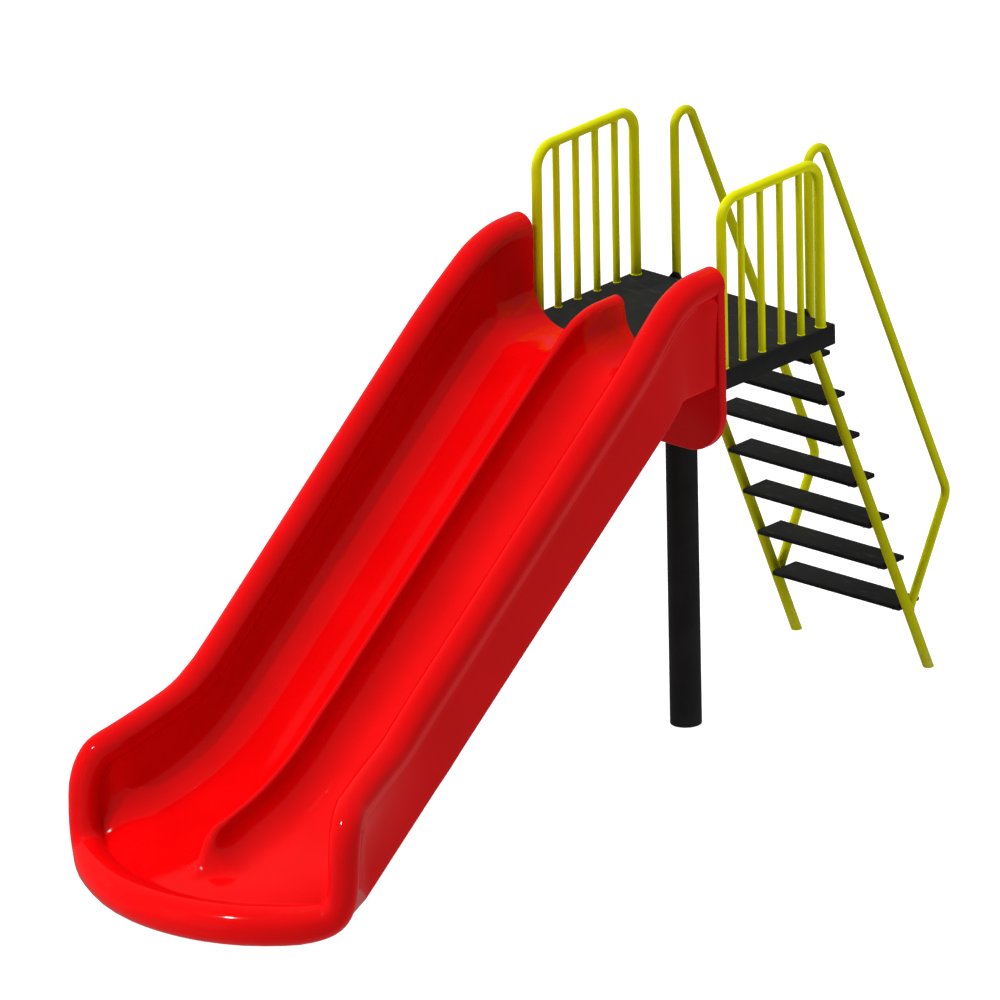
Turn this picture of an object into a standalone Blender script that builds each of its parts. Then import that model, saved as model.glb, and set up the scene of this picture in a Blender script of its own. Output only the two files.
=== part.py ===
"""Two-lane playground slide with a small deck, two side guards and a ladder with handrails.

Metres, +Z up. The ladder is at the +Y end and the chute runs down towards -Y, so +X is on the
right of somebody who looks along +Y. The origin is on the ground, on the centre plane, half way
along the whole length. The sizes below are measured from the deck's rear edge, and everything
is moved by MIDDLE_Y at the end of its making.
"""
import math

import bmesh
import bpy
from mathutils import Matrix, Vector

# Driving sizes
DECK_TOP = 1.524
DECK_HALF_WIDTH = 0.4560
DECK_DEPTH = 0.6597
DECK_EDGE = 0.075
DECK_SHEET = 0.005
CLEAR = 0.0003

POST_RADIUS = 0.05715
POST_Y = -0.325

GUARD_X = 0.4317
GUARD_REAR_Y = -0.0568
GUARD_FRONT_Y = -0.5880
GUARD_RAIL_Z = 2.153
GUARD_RADIUS = 0.0194
GUARD_BEND = 0.080
BALUSTER_RADIUS = 0.0131
BALUSTER_COUNT = 4

LADDER_X = 0.3083
STRINGER_RADIUS = 0.019
STRINGER_SLOPE = 2.334
STRINGER_TOP_Z = 1.400
STRINGER_Y_AT_DECK = -0.0142

TREAD_COUNT = 7
TREAD_TOP_Z = 1.3382
TREAD_RISE = 0.1781
TREAD_GOING = 0.0764
TREAD_REAR_Y = 0.1598
TREAD_DEPTH = 0.131
TREAD_THICK = 0.018
TREAD_HALF = 0.2890

HANDRAIL_X = 0.3125
HANDRAIL_LOW_X = 0.3062
HANDRAIL_RADIUS = 0.0167
HANDRAIL_LEG_Y = 0.0255
HANDRAIL_LOOP_RADIUS = 0.0514
HANDRAIL_LOOP_Z = 2.0827
HANDRAIL_ELBOW = (0.7560, 0.6340)
HANDRAIL_FOOT = (0.5450, 0.2500)

EXIT_FOOT_HALF = 0.200
EXIT_FOOT_FRONT = (-3.020, 0.0614)
EXIT_FOOT_REAR = (-2.920, 0.0839)

CHUTE_REAR_Y = -0.66
CHUTE_ANGLE = math.radians(37.4)
EXIT_ANGLE = math.radians(6.0)
FLOOR_Z = 1.533
FLOOR_BREAK_RADIUS = 0.148
RUNOUT_START_Y = -2.305
RUNOUT_RADIUS = 1.15
FILLET = 0.148
BEAD = 0.060
BEAD_FLAT_Z = 1.873
BEAD_BREAK_RADIUS = 0.34
BEAD_LINE = (-1.484, 1.3865)
BEAD_SLOPE = 0.7734
CREST_FLAT_Z = 1.722
CREST_BREAK_RADIUS = 0.35
CREST_LINE = (-1.621, 1.152)
UNDER_DROP = 0.038
UNDER_EXIT_Z = 0.042
OUTER_X = 0.522

# y of the middle of the whole length, measured from the deck's rear edge
MIDDLE_Y = -1.2257
SHIFT = Vector((0.0, -MIDDLE_Y, 0.0))

SLOPE = math.tan(CHUTE_ANGLE)


# Helpers for meshes and materials
def clear_scene():
    for item in list(bpy.data.objects):
        bpy.data.objects.remove(item, do_unlink=True)


def material(name, colour, roughness, metallic):
    made = bpy.data.materials.new(name)
    made.use_nodes = True
    node = made.node_tree.nodes["Principled BSDF"]
    node.inputs["Base Color"].default_value = (*colour, 1.0)
    node.inputs["Roughness"].default_value = roughness
    node.inputs["Metallic"].default_value = metallic
    made.diffuse_color = (*colour, 1.0)
    return made


def new_object(name, verts, faces, mat, smooth_angle=None):
    mesh = bpy.data.meshes.new(name)
    mesh.from_pydata([tuple(Vector(v)) for v in verts], [], faces)
    mesh.update()
    work = bmesh.new()
    work.from_mesh(mesh)
    bmesh.ops.remove_doubles(work, verts=work.verts, dist=0.00002)
    bmesh.ops.recalc_face_normals(work, faces=work.faces)
    work.to_mesh(mesh)
    work.free()
    mesh.materials.append(mat)
    item = bpy.data.objects.new(name, mesh)
    bpy.context.scene.collection.objects.link(item)
    item.location = SHIFT
    if smooth_angle is not None:
        mesh.shade_smooth()
        mesh.set_sharp_from_angle(angle=math.radians(smooth_angle))
    return item


# Paths in the y z plane, and the solids made along them
def rounded_path(corners, radii, step_angle=9.0):
    """Points of a path through the corners, with an arc of the given radius at each inner one."""
    points = [Vector(corners[0])]
    for i in range(1, len(corners) - 1):
        before = Vector(corners[i - 1])
        here = Vector(corners[i])
        after = Vector(corners[i + 1])
        come = (here - before).normalized()
        leave = (after - here).normalized()
        turn = come.angle(leave)
        reach = radii[i - 1] * math.tan(turn / 2)
        start = here - come * reach
        side = (leave - come * come.dot(leave)).normalized()
        centre = start + side * radii[i - 1]
        count = max(2, int(math.ceil(math.degrees(turn) / step_angle)))
        for k in range(count + 1):
            angle = turn * k / count
            points.append(centre - side * radii[i - 1] * math.cos(angle)
                          + come * radii[i - 1] * math.sin(angle))
    points.append(Vector(corners[-1]))
    return points


def tube(name, path, x, radius, mat, sides=20):
    """A closed tube round a path of (y, z) points; x is one value or a value for each point."""
    verts = []
    faces = []
    count = len(path)
    for i, point in enumerate(path):
        back = (point - path[i - 1]).normalized() if i > 0 else None
        ahead = (path[i + 1] - point).normalized() if i < count - 1 else None
        if back is None:
            along = ahead
            stretch = 1.0
        elif ahead is None:
            along = back
            stretch = 1.0
        else:
            along = (back + ahead).normalized()
            stretch = 1.0 / max(0.2, along.dot(back))
        across = Vector((-along.y, along.x)) * stretch
        for k in range(sides):
            turn = 2 * math.pi * (k + 0.5) / sides
            px = (x[i] if isinstance(x, list) else x) + radius * math.cos(turn)
            offset = across * (radius * math.sin(turn))
            verts.append((px, point.x + offset.x, point.y + offset.y))
    for i in range(count - 1):
        for k in range(sides):
            a = i * sides + k
            b = i * sides + (k + 1) % sides
            faces.append((a, b, b + sides, a + sides))
    faces.append(tuple(range(sides)))
    faces.append(tuple(range((count - 1) * sides, count * sides)))
    return new_object(name, verts, faces, mat, 40)


def plate(name, outline, axis, low, high, mat, smooth_angle=None):
    """A flat plate: a closed outline extruded between two values of the named axis."""
    verts = []
    for value in (low, high):
        for p, q in outline:
            if axis == "x":
                verts.append((value, p, q))
            elif axis == "y":
                verts.append((p, value, q))
            else:
                verts.append((p, q, value))
    count = len(outline)
    faces = [tuple(range(count)), tuple(range(count, 2 * count))]
    for k in range(count):
        n = (k + 1) % count
        faces.append((k, n, n + count, k + count))
    return new_object(name, verts, faces, mat, smooth_angle)


def box_outline(p0, q0, p1, q1):
    return [(p0, q0), (p1, q0), (p1, q1), (p0, q1)]


def apply_boolean(target, cutter, operation):
    """Run an exact boolean on the mesh now, and drop the other object."""
    change = target.modifiers.new("boolean", "BOOLEAN")
    change.operation = operation
    change.solver = "EXACT"
    change.object = cutter
    bpy.context.view_layer.update()
    graph = bpy.context.evaluated_depsgraph_get()
    done = bpy.data.meshes.new_from_object(target.evaluated_get(graph))
    target.modifiers.remove(change)
    target.data = done
    bpy.data.objects.remove(cutter, do_unlink=True)
    work = bmesh.new()
    work.from_mesh(done)
    bmesh.ops.remove_doubles(work, verts=work.verts, dist=0.00005)
    bmesh.ops.recalc_face_normals(work, faces=work.faces)
    work.to_mesh(done)
    work.free()


# Lines of the chute, seen from the side
def along_line(y, point, slope=SLOPE):
    return point[1] + slope * (y - point[0])


def break_curve(flat_z, line, radius, y, slope=SLOPE):
    """Height at y of a level line that turns through an arc into the sloping line."""
    angle = math.atan(slope)
    corner = line[0] + (flat_z - line[1]) / slope
    reach = radius * math.tan(angle / 2)
    start = corner + reach
    end = corner - reach * math.cos(angle)
    if y >= start:
        return flat_z
    if y <= end:
        return along_line(y, line, slope)
    return flat_z - radius + math.sqrt(radius ** 2 - (start - y) ** 2)


FLOOR_CORNER_Y = -0.910
FLOOR_LINE = (FLOOR_CORNER_Y, FLOOR_Z)
FLOOR_REACH = FLOOR_BREAK_RADIUS * math.tan(CHUTE_ANGLE / 2)
RUNOUT_START_Z = along_line(RUNOUT_START_Y, FLOOR_LINE)
RUNOUT_CENTRE = (RUNOUT_START_Y - RUNOUT_RADIUS * math.sin(CHUTE_ANGLE),
                 RUNOUT_START_Z + RUNOUT_RADIUS * math.cos(CHUTE_ANGLE))
RUNOUT_END_Y = RUNOUT_CENTRE[0] + RUNOUT_RADIUS * math.sin(EXIT_ANGLE)


def floor_at(y):
    """Height of the floor and its fall angle at y."""
    if y > RUNOUT_START_Y:
        start = FLOOR_CORNER_Y + FLOOR_REACH
        end = FLOOR_CORNER_Y - FLOOR_REACH * math.cos(CHUTE_ANGLE)
        height = break_curve(FLOOR_Z, FLOOR_LINE, FLOOR_BREAK_RADIUS, y)
        if y >= start:
            return height, 0.0
        if y <= end:
            return height, CHUTE_ANGLE
        return height, math.asin((start - y) / FLOOR_BREAK_RADIUS)
    if y > RUNOUT_END_Y:
        rise = y - RUNOUT_CENTRE[0]
        return RUNOUT_CENTRE[1] - math.sqrt(RUNOUT_RADIUS ** 2 - rise ** 2), math.asin(rise / RUNOUT_RADIUS)
    end_z = RUNOUT_CENTRE[1] - RUNOUT_RADIUS * math.cos(EXIT_ANGLE)
    return end_z + (y - RUNOUT_END_Y) * math.tan(EXIT_ANGLE), EXIT_ANGLE


# where the wall's bead leaves the straight slope near the exit, and how it runs on
FLARE_START = -2.33
FLARE = 0.092
FLARE_POWER = 1.55
FLARE_END = -2.84
EXIT_CORNER_Y = -2.795
EXIT_FOOT_Y = -2.822
BEAD_LEVEL_START = -2.37
BEAD_LEVEL_RADIUS = 0.60
BEAD_LEVEL_ANGLE = math.radians(18.5)
BEAD_ANGLE = math.atan(BEAD_SLOPE)
BEAD_LEVEL_START_Z = along_line(BEAD_LEVEL_START, BEAD_LINE, BEAD_SLOPE)
BEAD_LEVEL_CENTRE = (BEAD_LEVEL_START - BEAD_LEVEL_RADIUS * math.sin(BEAD_ANGLE),
                     BEAD_LEVEL_START_Z + BEAD_LEVEL_RADIUS * math.cos(BEAD_ANGLE))
BEAD_LEVEL_END = BEAD_LEVEL_CENTRE[0] + BEAD_LEVEL_RADIUS * math.sin(BEAD_LEVEL_ANGLE)


def bead_z(y):
    if y > BEAD_LEVEL_START:
        return break_curve(BEAD_FLAT_Z, BEAD_LINE, BEAD_BREAK_RADIUS, y, BEAD_SLOPE)
    if y > BEAD_LEVEL_END:
        return BEAD_LEVEL_CENTRE[1] - math.sqrt(BEAD_LEVEL_RADIUS ** 2 - (y - BEAD_LEVEL_CENTRE[0]) ** 2)
    end_z = BEAD_LEVEL_CENTRE[1] - BEAD_LEVEL_RADIUS * math.cos(BEAD_LEVEL_ANGLE)
    return end_z + (y - BEAD_LEVEL_END) * math.tan(BEAD_LEVEL_ANGLE)


def crest_z(y):
    return break_curve(CREST_FLAT_Z, CREST_LINE, CREST_BREAK_RADIUS, y)


def under_z(y):
    corner = (FLOOR_CORNER_Y + UNDER_DROP * math.tan(CHUTE_ANGLE / 2), FLOOR_Z - UNDER_DROP)
    return max(UNDER_EXIT_Z, min(corner[1], along_line(y, corner)))


def smooth_step(value, low, high):
    t = min(1.0, max(0.0, (value - low) / (high - low)))
    return t * t * (3 - 2 * t)


def bead_x(y):
    """Half the distance between the two beads' centres."""
    widen = 0.4495 + (0.4743 - 0.4495) * smooth_step(-y, 0.78, 1.20)
    if y > FLARE_START:
        return widen
    return widen + FLARE * ((FLARE_START - max(y, FLARE_END)) / (FLARE_START - FLARE_END)) ** FLARE_POWER


def cast(y, z, direction, height_of, start, stop):
    """Distance from (y, z) along a direction to the line z = height_of(y)."""
    low = start
    high = stop
    sign = z + start * direction[1] - height_of(y + start * direction[0])
    for _ in range(50):
        middle = (low + high) / 2
        value = z + middle * direction[1] - height_of(y + middle * direction[0])
        if (value > 0) == (sign > 0):
            low = middle
        else:
            high = middle
    return (low + high) / 2


# Surfaces of the chute.
# The chute is two sheets of points, an inner one that people slide on and an outer one below,
# and a rim that joins them: along the walls' tops, round the two exit corners, along the lip.
# A column runs the chute's length; column 0 lies on the centre plane and the last on the wall.
FLOOR_COLUMNS = [0.0, 0.007, 0.0125, 0.024, 0.040, 0.062, 0.090, 0.122, 0.158]
FLOOR_EXTRA = 3
FILLET_STEPS = 7
RIM_BEND_STEPS = 3
RIM_BEAD_STEPS = 11
NOSE_Y = -2.855
NOSE_ROUND = 0.085
NOSE_FOOT = 0.090
NOSE_STEEP = math.radians(62.0)
BEAD_REACH = 0.087
BEAD_OFFSET = 0.0413
EXIT_WALL_X = 0.552
EXIT_FILLET = 0.060
LIP_BEAD = 0.075
# The rim's way from the wall round the exit's corner to the middle of the lip. Each line has the
# bead's centre and radius, the side that faces the riders, and how far the inner sheet ends behind
# the centre and above it.
EXIT_RIM = [
    ((0.585, -2.849, 0.489), 0.0585, (-1.00, 0.0, 0.00), 0.085, 0.046),
    ((0.605, -2.888, 0.400), 0.0570, (-1.00, 0.0, 0.00), 0.070, 0.051),
    ((0.606, -2.896, 0.290), 0.0565, (-1.00, 0.0, 0.04), 0.062, 0.051),
    ((0.594, -2.902, 0.208), 0.0580, (-0.90, 0.0, 0.43), 0.040, 0.054),
    ((0.560, -2.922, 0.155), 0.0630, (-0.62, 0.0, 0.78), 0.016, 0.0615),
    ((0.502, -2.966, 0.133), 0.0700, (-0.22, 0.0, 0.97), 0.004, 0.0695),
    ((0.430, -3.013, 0.124), 0.0740, (-0.05, -0.10, 0.99), 0.0, 0.0740),
    ((0.300, -3.082, 0.116), LIP_BEAD, (0.0, -0.10, 0.99), 0.0, LIP_BEAD),
    ((0.158, -3.126, 0.1115), LIP_BEAD, (0.0, -0.10, 0.99), 0.0, LIP_BEAD),
    ((0.000, -3.141, 0.110), LIP_BEAD, (0.0, -0.10, 0.99), 0.0, LIP_BEAD),
]


def divider_height(distance, crest, top_radius):
    """Height of the ridge between the lanes, at a distance from its spine."""
    dip = FILLET - (crest - top_radius)
    if dip <= 0:
        foot = top_radius + FILLET
        touch = top_radius
    else:
        foot = math.sqrt((top_radius + FILLET) ** 2 - dip ** 2)
        touch = foot * top_radius / (top_radius + FILLET)
    if distance >= foot:
        return 0.0
    if distance <= touch:
        return crest - top_radius + math.sqrt(max(0.0, top_radius ** 2 - distance ** 2))
    return FILLET - math.sqrt(max(0.0, FILLET ** 2 - (foot - distance) ** 2))


def frame_at(y):
    """Floor point, upward normal, bead centre, floor edge and fillet radius at y."""
    z, fall = floor_at(y)
    up = Vector((0.0, -math.sin(fall), math.cos(fall)))
    look = max(y, EXIT_CORNER_Y)
    look_z, look_fall = floor_at(look)
    look_up = Vector((0.0, -math.sin(look_fall), math.cos(look_fall)))
    qc = cast(look, look_z, (look_up.y, look_up.z), bead_z, 0.1, 0.6)
    xc = bead_x(look + qc * look_up.y)
    share = smooth_step(qc, 0.245, 0.315) if y > -1.2 else 0.0
    reach = FILLET + BEAD_OFFSET + (BEAD - BEAD_OFFSET) * share
    edge = xc - reach
    fillet = FILLET
    if y < -2.70:
        fillet = FILLET + (EXIT_FILLET - FILLET) * smooth_step(-y, 2.70, 3.00)
        wall = edge + FILLET
        wall = wall + (EXIT_WALL_X - wall) * smooth_step(-y, 2.72, 2.82)
        edge = wall - fillet
    return z, up, qc, xc, edge, fillet


def nose_height(distance, crest):
    """Height of the ridge's top at a distance past the start of its rounded nose."""
    drop = crest - (NOSE_ROUND + NOSE_FOOT) * (1 - math.cos(NOSE_STEEP))
    first = NOSE_ROUND * math.sin(NOSE_STEEP)
    second = first + drop / math.tan(NOSE_STEEP)
    third = second + NOSE_FOOT * math.sin(NOSE_STEEP)
    if distance <= 0:
        return crest
    if distance < first:
        return crest - NOSE_ROUND + math.sqrt(NOSE_ROUND ** 2 - distance ** 2)
    if distance < second:
        return crest - NOSE_ROUND * (1 - math.cos(NOSE_STEEP)) - (distance - first) * math.tan(NOSE_STEEP)
    if distance < third:
        return NOSE_FOOT - math.sqrt(NOSE_FOOT ** 2 - (third - distance) ** 2)
    return 0.0


def ridge_at(y, x):
    """Lift of the floor by the ridge between the lanes at (x, y)."""
    z, fall = floor_at(y)
    if y > -2.2:
        crest = cast(y, z, (-math.sin(fall), math.cos(fall)), crest_z, 0.02, 0.3)
    else:
        crest = nose_height(NOSE_Y - y, 0.1325)
    if crest <= 0.0:
        return 0.0
    thick = 0.035 + (0.013 - 0.035) * smooth_step(-y, 0.70, 1.05)
    thick = thick + (0.040 - 0.013) * smooth_step(-y, 2.72, 2.94)
    return divider_height(abs(x), crest, min(thick, crest + 0.001))


def inner_point(column, y):
    """A point of the inner sheet, and its normal."""
    z, up, qc, xc, edge, fillet = frame_at(y)
    base = Vector((0.0, y, z))
    count = len(FLOOR_COLUMNS) - 1
    last_floor = count + FLOOR_EXTRA
    if column <= count:
        x = FLOOR_COLUMNS[column]
        return base + Vector((x, 0, 0)) + up * ridge_at(y, x), up
    if column <= last_floor:
        share = (column - count) / FLOOR_EXTRA
        x = FLOOR_COLUMNS[-1] + (edge - FLOOR_COLUMNS[-1]) * share
        return base + Vector((x, 0, 0)) + up * ridge_at(y, x), up
    if column == LAST:
        return base + Vector((edge + fillet, 0, 0)) + up * (qc - BEAD_REACH), Vector((-1, 0, 0))
    angle = -math.pi / 2 + math.pi / 2 * (column - last_floor) / FILLET_STEPS
    p = edge + fillet * math.cos(angle)
    q = fillet + fillet * math.sin(angle)
    normal = Vector((-math.cos(angle), 0, 0)) - up * math.sin(angle)
    return base + Vector((p, 0, 0)) + up * q, normal.normalized()


FLOOR_LAST = len(FLOOR_COLUMNS) - 1 + FLOOR_EXTRA
LAST = FLOOR_LAST + FILLET_STEPS + 1


def rim_share(column):
    """How far along the exit's rim a column of the inner sheet ends, in lines of EXIT_RIM."""
    count = len(FLOOR_COLUMNS) - 1
    if column == LAST:
        return 0.8
    if column >= FLOOR_LAST:
        return 5.0 - 3.5 * (column - FLOOR_LAST) / FILLET_STEPS
    if column > count:
        return 8.0 - (column - count) * 3.0 / FLOOR_EXTRA
    return 9.0 - FLOOR_COLUMNS[column] / FLOOR_COLUMNS[count]


def curve_value(values, place):
    """A smooth curve through evenly numbered values, read at a place between them."""
    i = min(max(int(math.floor(place)), 0), len(values) - 2)
    t = place - i
    b = values[i]
    c = values[i + 1]
    a = values[i - 1] if i > 0 else b * 2 - c
    d = values[i + 2] if i + 2 < len(values) else c * 2 - b
    return (b * 2 + (c - a) * t + (a * 2 - b * 5 + c * 4 - d) * t ** 2
            + (b * 3 - a - c * 3 + d) * t ** 3) * 0.5


def exit_station(place, lead):
    """Rim values at a place along EXIT_RIM; lead holds the wall's last two bead centres."""
    centres = list(lead) + [Vector(line[0]) for line in EXIT_RIM]
    for line in (EXIT_RIM[-2], EXIT_RIM[-3]):
        centres.append(Vector((-line[0][0], line[0][1], line[0][2])))
    spot = place + 2
    centre = curve_value(centres, spot)
    along = (curve_value(centres, spot + 0.02) - curve_value(centres, spot - 0.02)).normalized()
    numbers = []
    for pick, wall in ((1, BEAD), (3, BEAD_REACH), (4, BEAD_OFFSET)):
        values = [wall, wall] + [line[pick] for line in EXIT_RIM]
        numbers.append(curve_value(values, min(spot, len(values) - 1)))
    sides = [Vector((-1, 0, 0))] * 2 + [Vector(line[2]) for line in EXIT_RIM]
    side = curve_value(sides, min(spot, len(sides) - 1))
    ahead = side.cross(along).normalized()
    side = along.cross(ahead).normalized()
    bead, reach, offset = numbers
    reach = max(0.0, reach)
    offset = min(offset, bead)
    if place == len(EXIT_RIM) - 1:
        centre.x = 0.0
        ahead = Vector((0.0, ahead.y, ahead.z)).normalized()
        side = Vector((0.0, side.y, side.z)).normalized()
    base = centre - ahead * reach + side * offset
    return base, ahead, side, reach, offset, bead, centre


def rim_strip(base, ahead, normal, reach, offset, bead, end):
    """Points of the rim's section from the inner sheet's edge to the bead's outer side.

    ahead points out of the sheet's edge and normal towards the people's side. The bead's centre
    is reach ahead of the base and offset behind the sheet.
    """
    room = bead - offset
    if reach < 1e-5:
        bend = 0.0
    elif room < 1e-4:
        bend = 50.0
    else:
        bend = max(0.0, (reach ** 2 + offset ** 2 - bead ** 2) / (2 * room))
    tilt = math.atan2(reach, bend + offset)
    points = []
    for k in range(1, RIM_BEND_STEPS + 1):
        angle = tilt * k / RIM_BEND_STEPS
        points.append(base + ahead * bend * math.sin(angle) + normal * bend * (1 - math.cos(angle)))
    centre = base + ahead * reach - normal * offset
    start = math.pi / 2 + tilt
    for k in range(1, RIM_BEAD_STEPS + 1):
        angle = start + (end - start) * k / RIM_BEAD_STEPS
        points.append(centre + normal * bead * math.sin(angle) + ahead * bead * math.cos(angle))
    return points, centre


def outer_point(column, y):
    """A point of the outer sheet away from the exit."""
    z, up, qc, xc, edge, fillet = frame_at(y)
    base = Vector((0.0, y, z))
    drop = -cast(y, z, (-up.y, -up.z), under_z, 0.0, 0.6)
    wall_low = xc + 0.048 if y > RUNOUT_START_Y else OUTER_X
    wall_high = xc + 0.042 + (0.507 - xc - 0.042) * smooth_step(y, -0.84, -0.70)
    top = qc - 0.058
    soft = 0.014
    steps = LAST - UNDER_LAST
    if column <= UNDER_LAST:
        x = (wall_low - soft) * column / UNDER_LAST
        return base + Vector((x, 0, 0)) + up * drop
    k = column - UNDER_LAST
    if k <= 3:
        angle = math.radians(90 * k / 3)
        p = wall_low - soft + soft * math.sin(angle)
        q = drop + soft - soft * math.cos(angle)
        return base + Vector((p, 0, 0)) + up * q
    share = (k - 3) / (steps - 3)
    p = wall_low + (wall_high - wall_low) * share ** 2
    q = drop + soft + (top - drop - soft) * share
    return base + Vector((p, 0, 0)) + up * q


UNDER_LAST = LAST - 7


def outer_front(column, centre, bead):
    """The outer sheet's front edge, just behind the rim's bead."""
    if column <= FLOOR_LAST:
        return Vector((centre.x, centre.y + 0.004, centre.z - bead + 0.003))
    t = (column - FLOOR_LAST) / (LAST - FLOOR_LAST)
    x = centre.x + bead * (0.35 + 0.25 * t)
    y = centre.y + bead * (0.55 + 0.25 * t)
    z = centre.z - bead * (0.80 - 0.80 * min(1.0, t * 2))
    return Vector((x, y, z))


def chute_rows():
    ys = [-0.66, -0.70, -0.74, -0.78, -0.82]
    start = FLOOR_CORNER_Y + FLOOR_REACH
    for k in range(9):
        ys.append(start - FLOOR_BREAK_RADIUS * math.sin(CHUTE_ANGLE * k / 8))
    ys += [-1.00, -1.06, -1.30, -1.75, -2.15, RUNOUT_START_Y]
    for k in range(1, 7):
        angle = CHUTE_ANGLE + (math.radians(15.0) - CHUTE_ANGLE) * k / 6
        ys.append(RUNOUT_CENTRE[0] + RUNOUT_RADIUS * math.sin(angle))
    return ys


def make_chute(mat):
    ys = chute_rows()
    last_y = ys[-1]
    inner = [[inner_point(j, y)[0] for j in range(LAST + 1)] for y in ys]
    outer = [[outer_point(j, y) for j in range(LAST + 1)] for y in ys]
    strips = []
    centres = []
    for y in ys:
        z, up, qc, xc, edge, fillet = frame_at(y)
        base, normal = inner_point(LAST, y)
        strip, centre = rim_strip(base, up, normal, BEAD_REACH, xc - base.x, BEAD, math.radians(-132))
        strips.append(strip)
        centres.append(centre)
    lead = centres[-2:]
    steps = 12
    fronts = [exit_station(rim_share(j), lead) for j in range(LAST + 1)]
    sides = [exit_station(-1.0 + (rim_share(LAST) + 1.0) * k / steps, lead) for k in range(1, steps)]
    front_outer = [outer_front(j, fronts[j][6], fronts[j][5]) for j in range(LAST + 1)]
    # rows that fan out from the last straight one to the front edge
    ends = []
    for j in range(LAST + 1):
        y = fronts[j][0].y
        for _ in range(8):
            y += fronts[j][0].y - inner_point(j, y)[0].y
        ends.append(y)
    for k in range(1, steps + 1):
        share = k / steps
        row = []
        low = []
        for j in range(LAST + 1):
            y = last_y + (ends[j] - last_y) * share
            spot = inner_point(j, y)[0]
            # what the front edge asks for fades out towards the straight rows
            spot = spot + (fronts[j][0] - inner_point(j, ends[j])[0]) * share ** 2
            if j > FLOOR_LAST and k < steps:
                y = last_y + (ends[LAST] - last_y) * share
                want = sides[k - 1][0] - inner_point(LAST, y)[0]
                want = want - (fronts[LAST][0] - inner_point(LAST, ends[LAST])[0]) * share ** 2
                spot = spot + want * ((j - FLOOR_LAST) / (LAST - FLOOR_LAST)) ** 2
            row.append(spot)
            low.append(outer[len(ys) - 1][j].lerp(front_outer[j], share))
        inner.append(row)
        outer.append(low)
    end = math.radians(-132)
    for base, ahead, side, reach, offset, bead, centre in sides:
        strips.append(rim_strip(base, ahead, side, reach, offset, bead, end)[0])
    rim = list(strips)
    for j in range(LAST, -1, -1):
        base, ahead, side, reach, offset, bead, centre = fronts[j]
        t = max(0.0, (j - FLOOR_LAST) / (LAST - FLOOR_LAST))
        rim.append(rim_strip(base, ahead, side, reach, offset, bead, math.radians(-90 - 42 * t))[0])
    rows = len(inner)

    verts = []
    faces = []
    index = {}

    def place(key, spot):
        index[key] = len(verts)
        verts.append(tuple(spot))

    for side in (1, -1):
        for i in range(rows):
            for j in range(LAST + 1):
                a = inner[i][j]
                b = outer[i][j]
                place(("in", side, i, j), (a.x * side, a.y, a.z))
                place(("out", side, i, j), (b.x * side, b.y, b.z))
        for r, points in enumerate(rim):
            for k, spot in enumerate(points):
                place(("rim", side, r, k), (spot.x * side, spot.y, spot.z))
    width = len(rim[0])
    for side in (1, -1):
        for i in range(rows - 1):
            for j in range(LAST):
                for sheet in ("in", "out"):
                    faces.append((index[sheet, side, i, j], index[sheet, side, i, j + 1],
                                  index[sheet, side, i + 1, j + 1], index[sheet, side, i + 1, j]))
        # perimeter stations: their inner start, rim points and outer end
        start = []
        for i in range(rows - 1):
            start.append((i, LAST))
        for j in range(LAST, -1, -1):
            start.append((rows - 1, j))
        for r in range(len(rim) - 1):
            lines = []
            for s in (r, r + 1):
                i, j = start[s]
                line = [index["in", side, i, j]]
                line += [index["rim", side, s, k] for k in range(width)]
                line.append(index["out", side, i, j])
                lines.append(line)
            for k in range(width + 1):
                quad = (lines[0][k], lines[0][k + 1], lines[1][k + 1], lines[1][k])
                loop = []
                for v in quad:
                    if v not in loop:
                        loop.append(v)
                if len(loop) > 2:
                    faces.append(tuple(loop))
    right = [index["in", 1, 0, j] for j in range(LAST + 1)]
    right += [index["rim", 1, 0, k] for k in range(width)]
    right += [index["out", 1, 0, j] for j in range(LAST, -1, -1)]
    left = [index["out", -1, 0, j] for j in range(1, LAST + 1)]
    left += [index["rim", -1, 0, k] for k in range(width - 1, -1, -1)]
    left += [index["in", -1, 0, j] for j in range(LAST, 0, -1)]
    faces.append(tuple(right + left))
    body = new_object("chute", verts, faces, mat)
    flange = make_flange(mat)
    apply_boolean(body, flange, "UNION")
    body.data.shade_smooth()
    body.data.set_sharp_from_angle(angle=math.radians(42))
    return body


def make_flange(mat):
    """The upright plate round the chute's upper end, rounded at its lower corners."""
    half = 0.510
    low = 1.229
    corner = 0.160
    outline = []
    for k in range(9):
        turn = math.radians(270 + 90 * k / 8)
        outline.append((half - corner + corner * math.cos(turn), low + corner + corner * math.sin(turn)))
    outline += [(half, 1.870), (half - 0.050, 1.870), (half - 0.050, 1.520)]
    outline += [(-x, z) for x, z in outline[::-1]]
    return plate("flange", outline, "y", CHUTE_REAR_Y - 0.040, CHUTE_REAR_Y, mat)


# The tower
def make_deck(mat):
    top = plate("deck_pan", box_outline(-DECK_HALF_WIDTH, -DECK_DEPTH, DECK_HALF_WIDTH, 0.0),
                "z", DECK_TOP - DECK_EDGE, DECK_TOP, mat)
    inner = plate("hollow", box_outline(-DECK_HALF_WIDTH + DECK_SHEET, -DECK_DEPTH + DECK_SHEET,
                                        DECK_HALF_WIDTH - DECK_SHEET, -DECK_SHEET),
                  "z", DECK_TOP - DECK_EDGE - 0.02, DECK_TOP - DECK_SHEET, mat)
    apply_boolean(top, inner, "DIFFERENCE")
    return top


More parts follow.
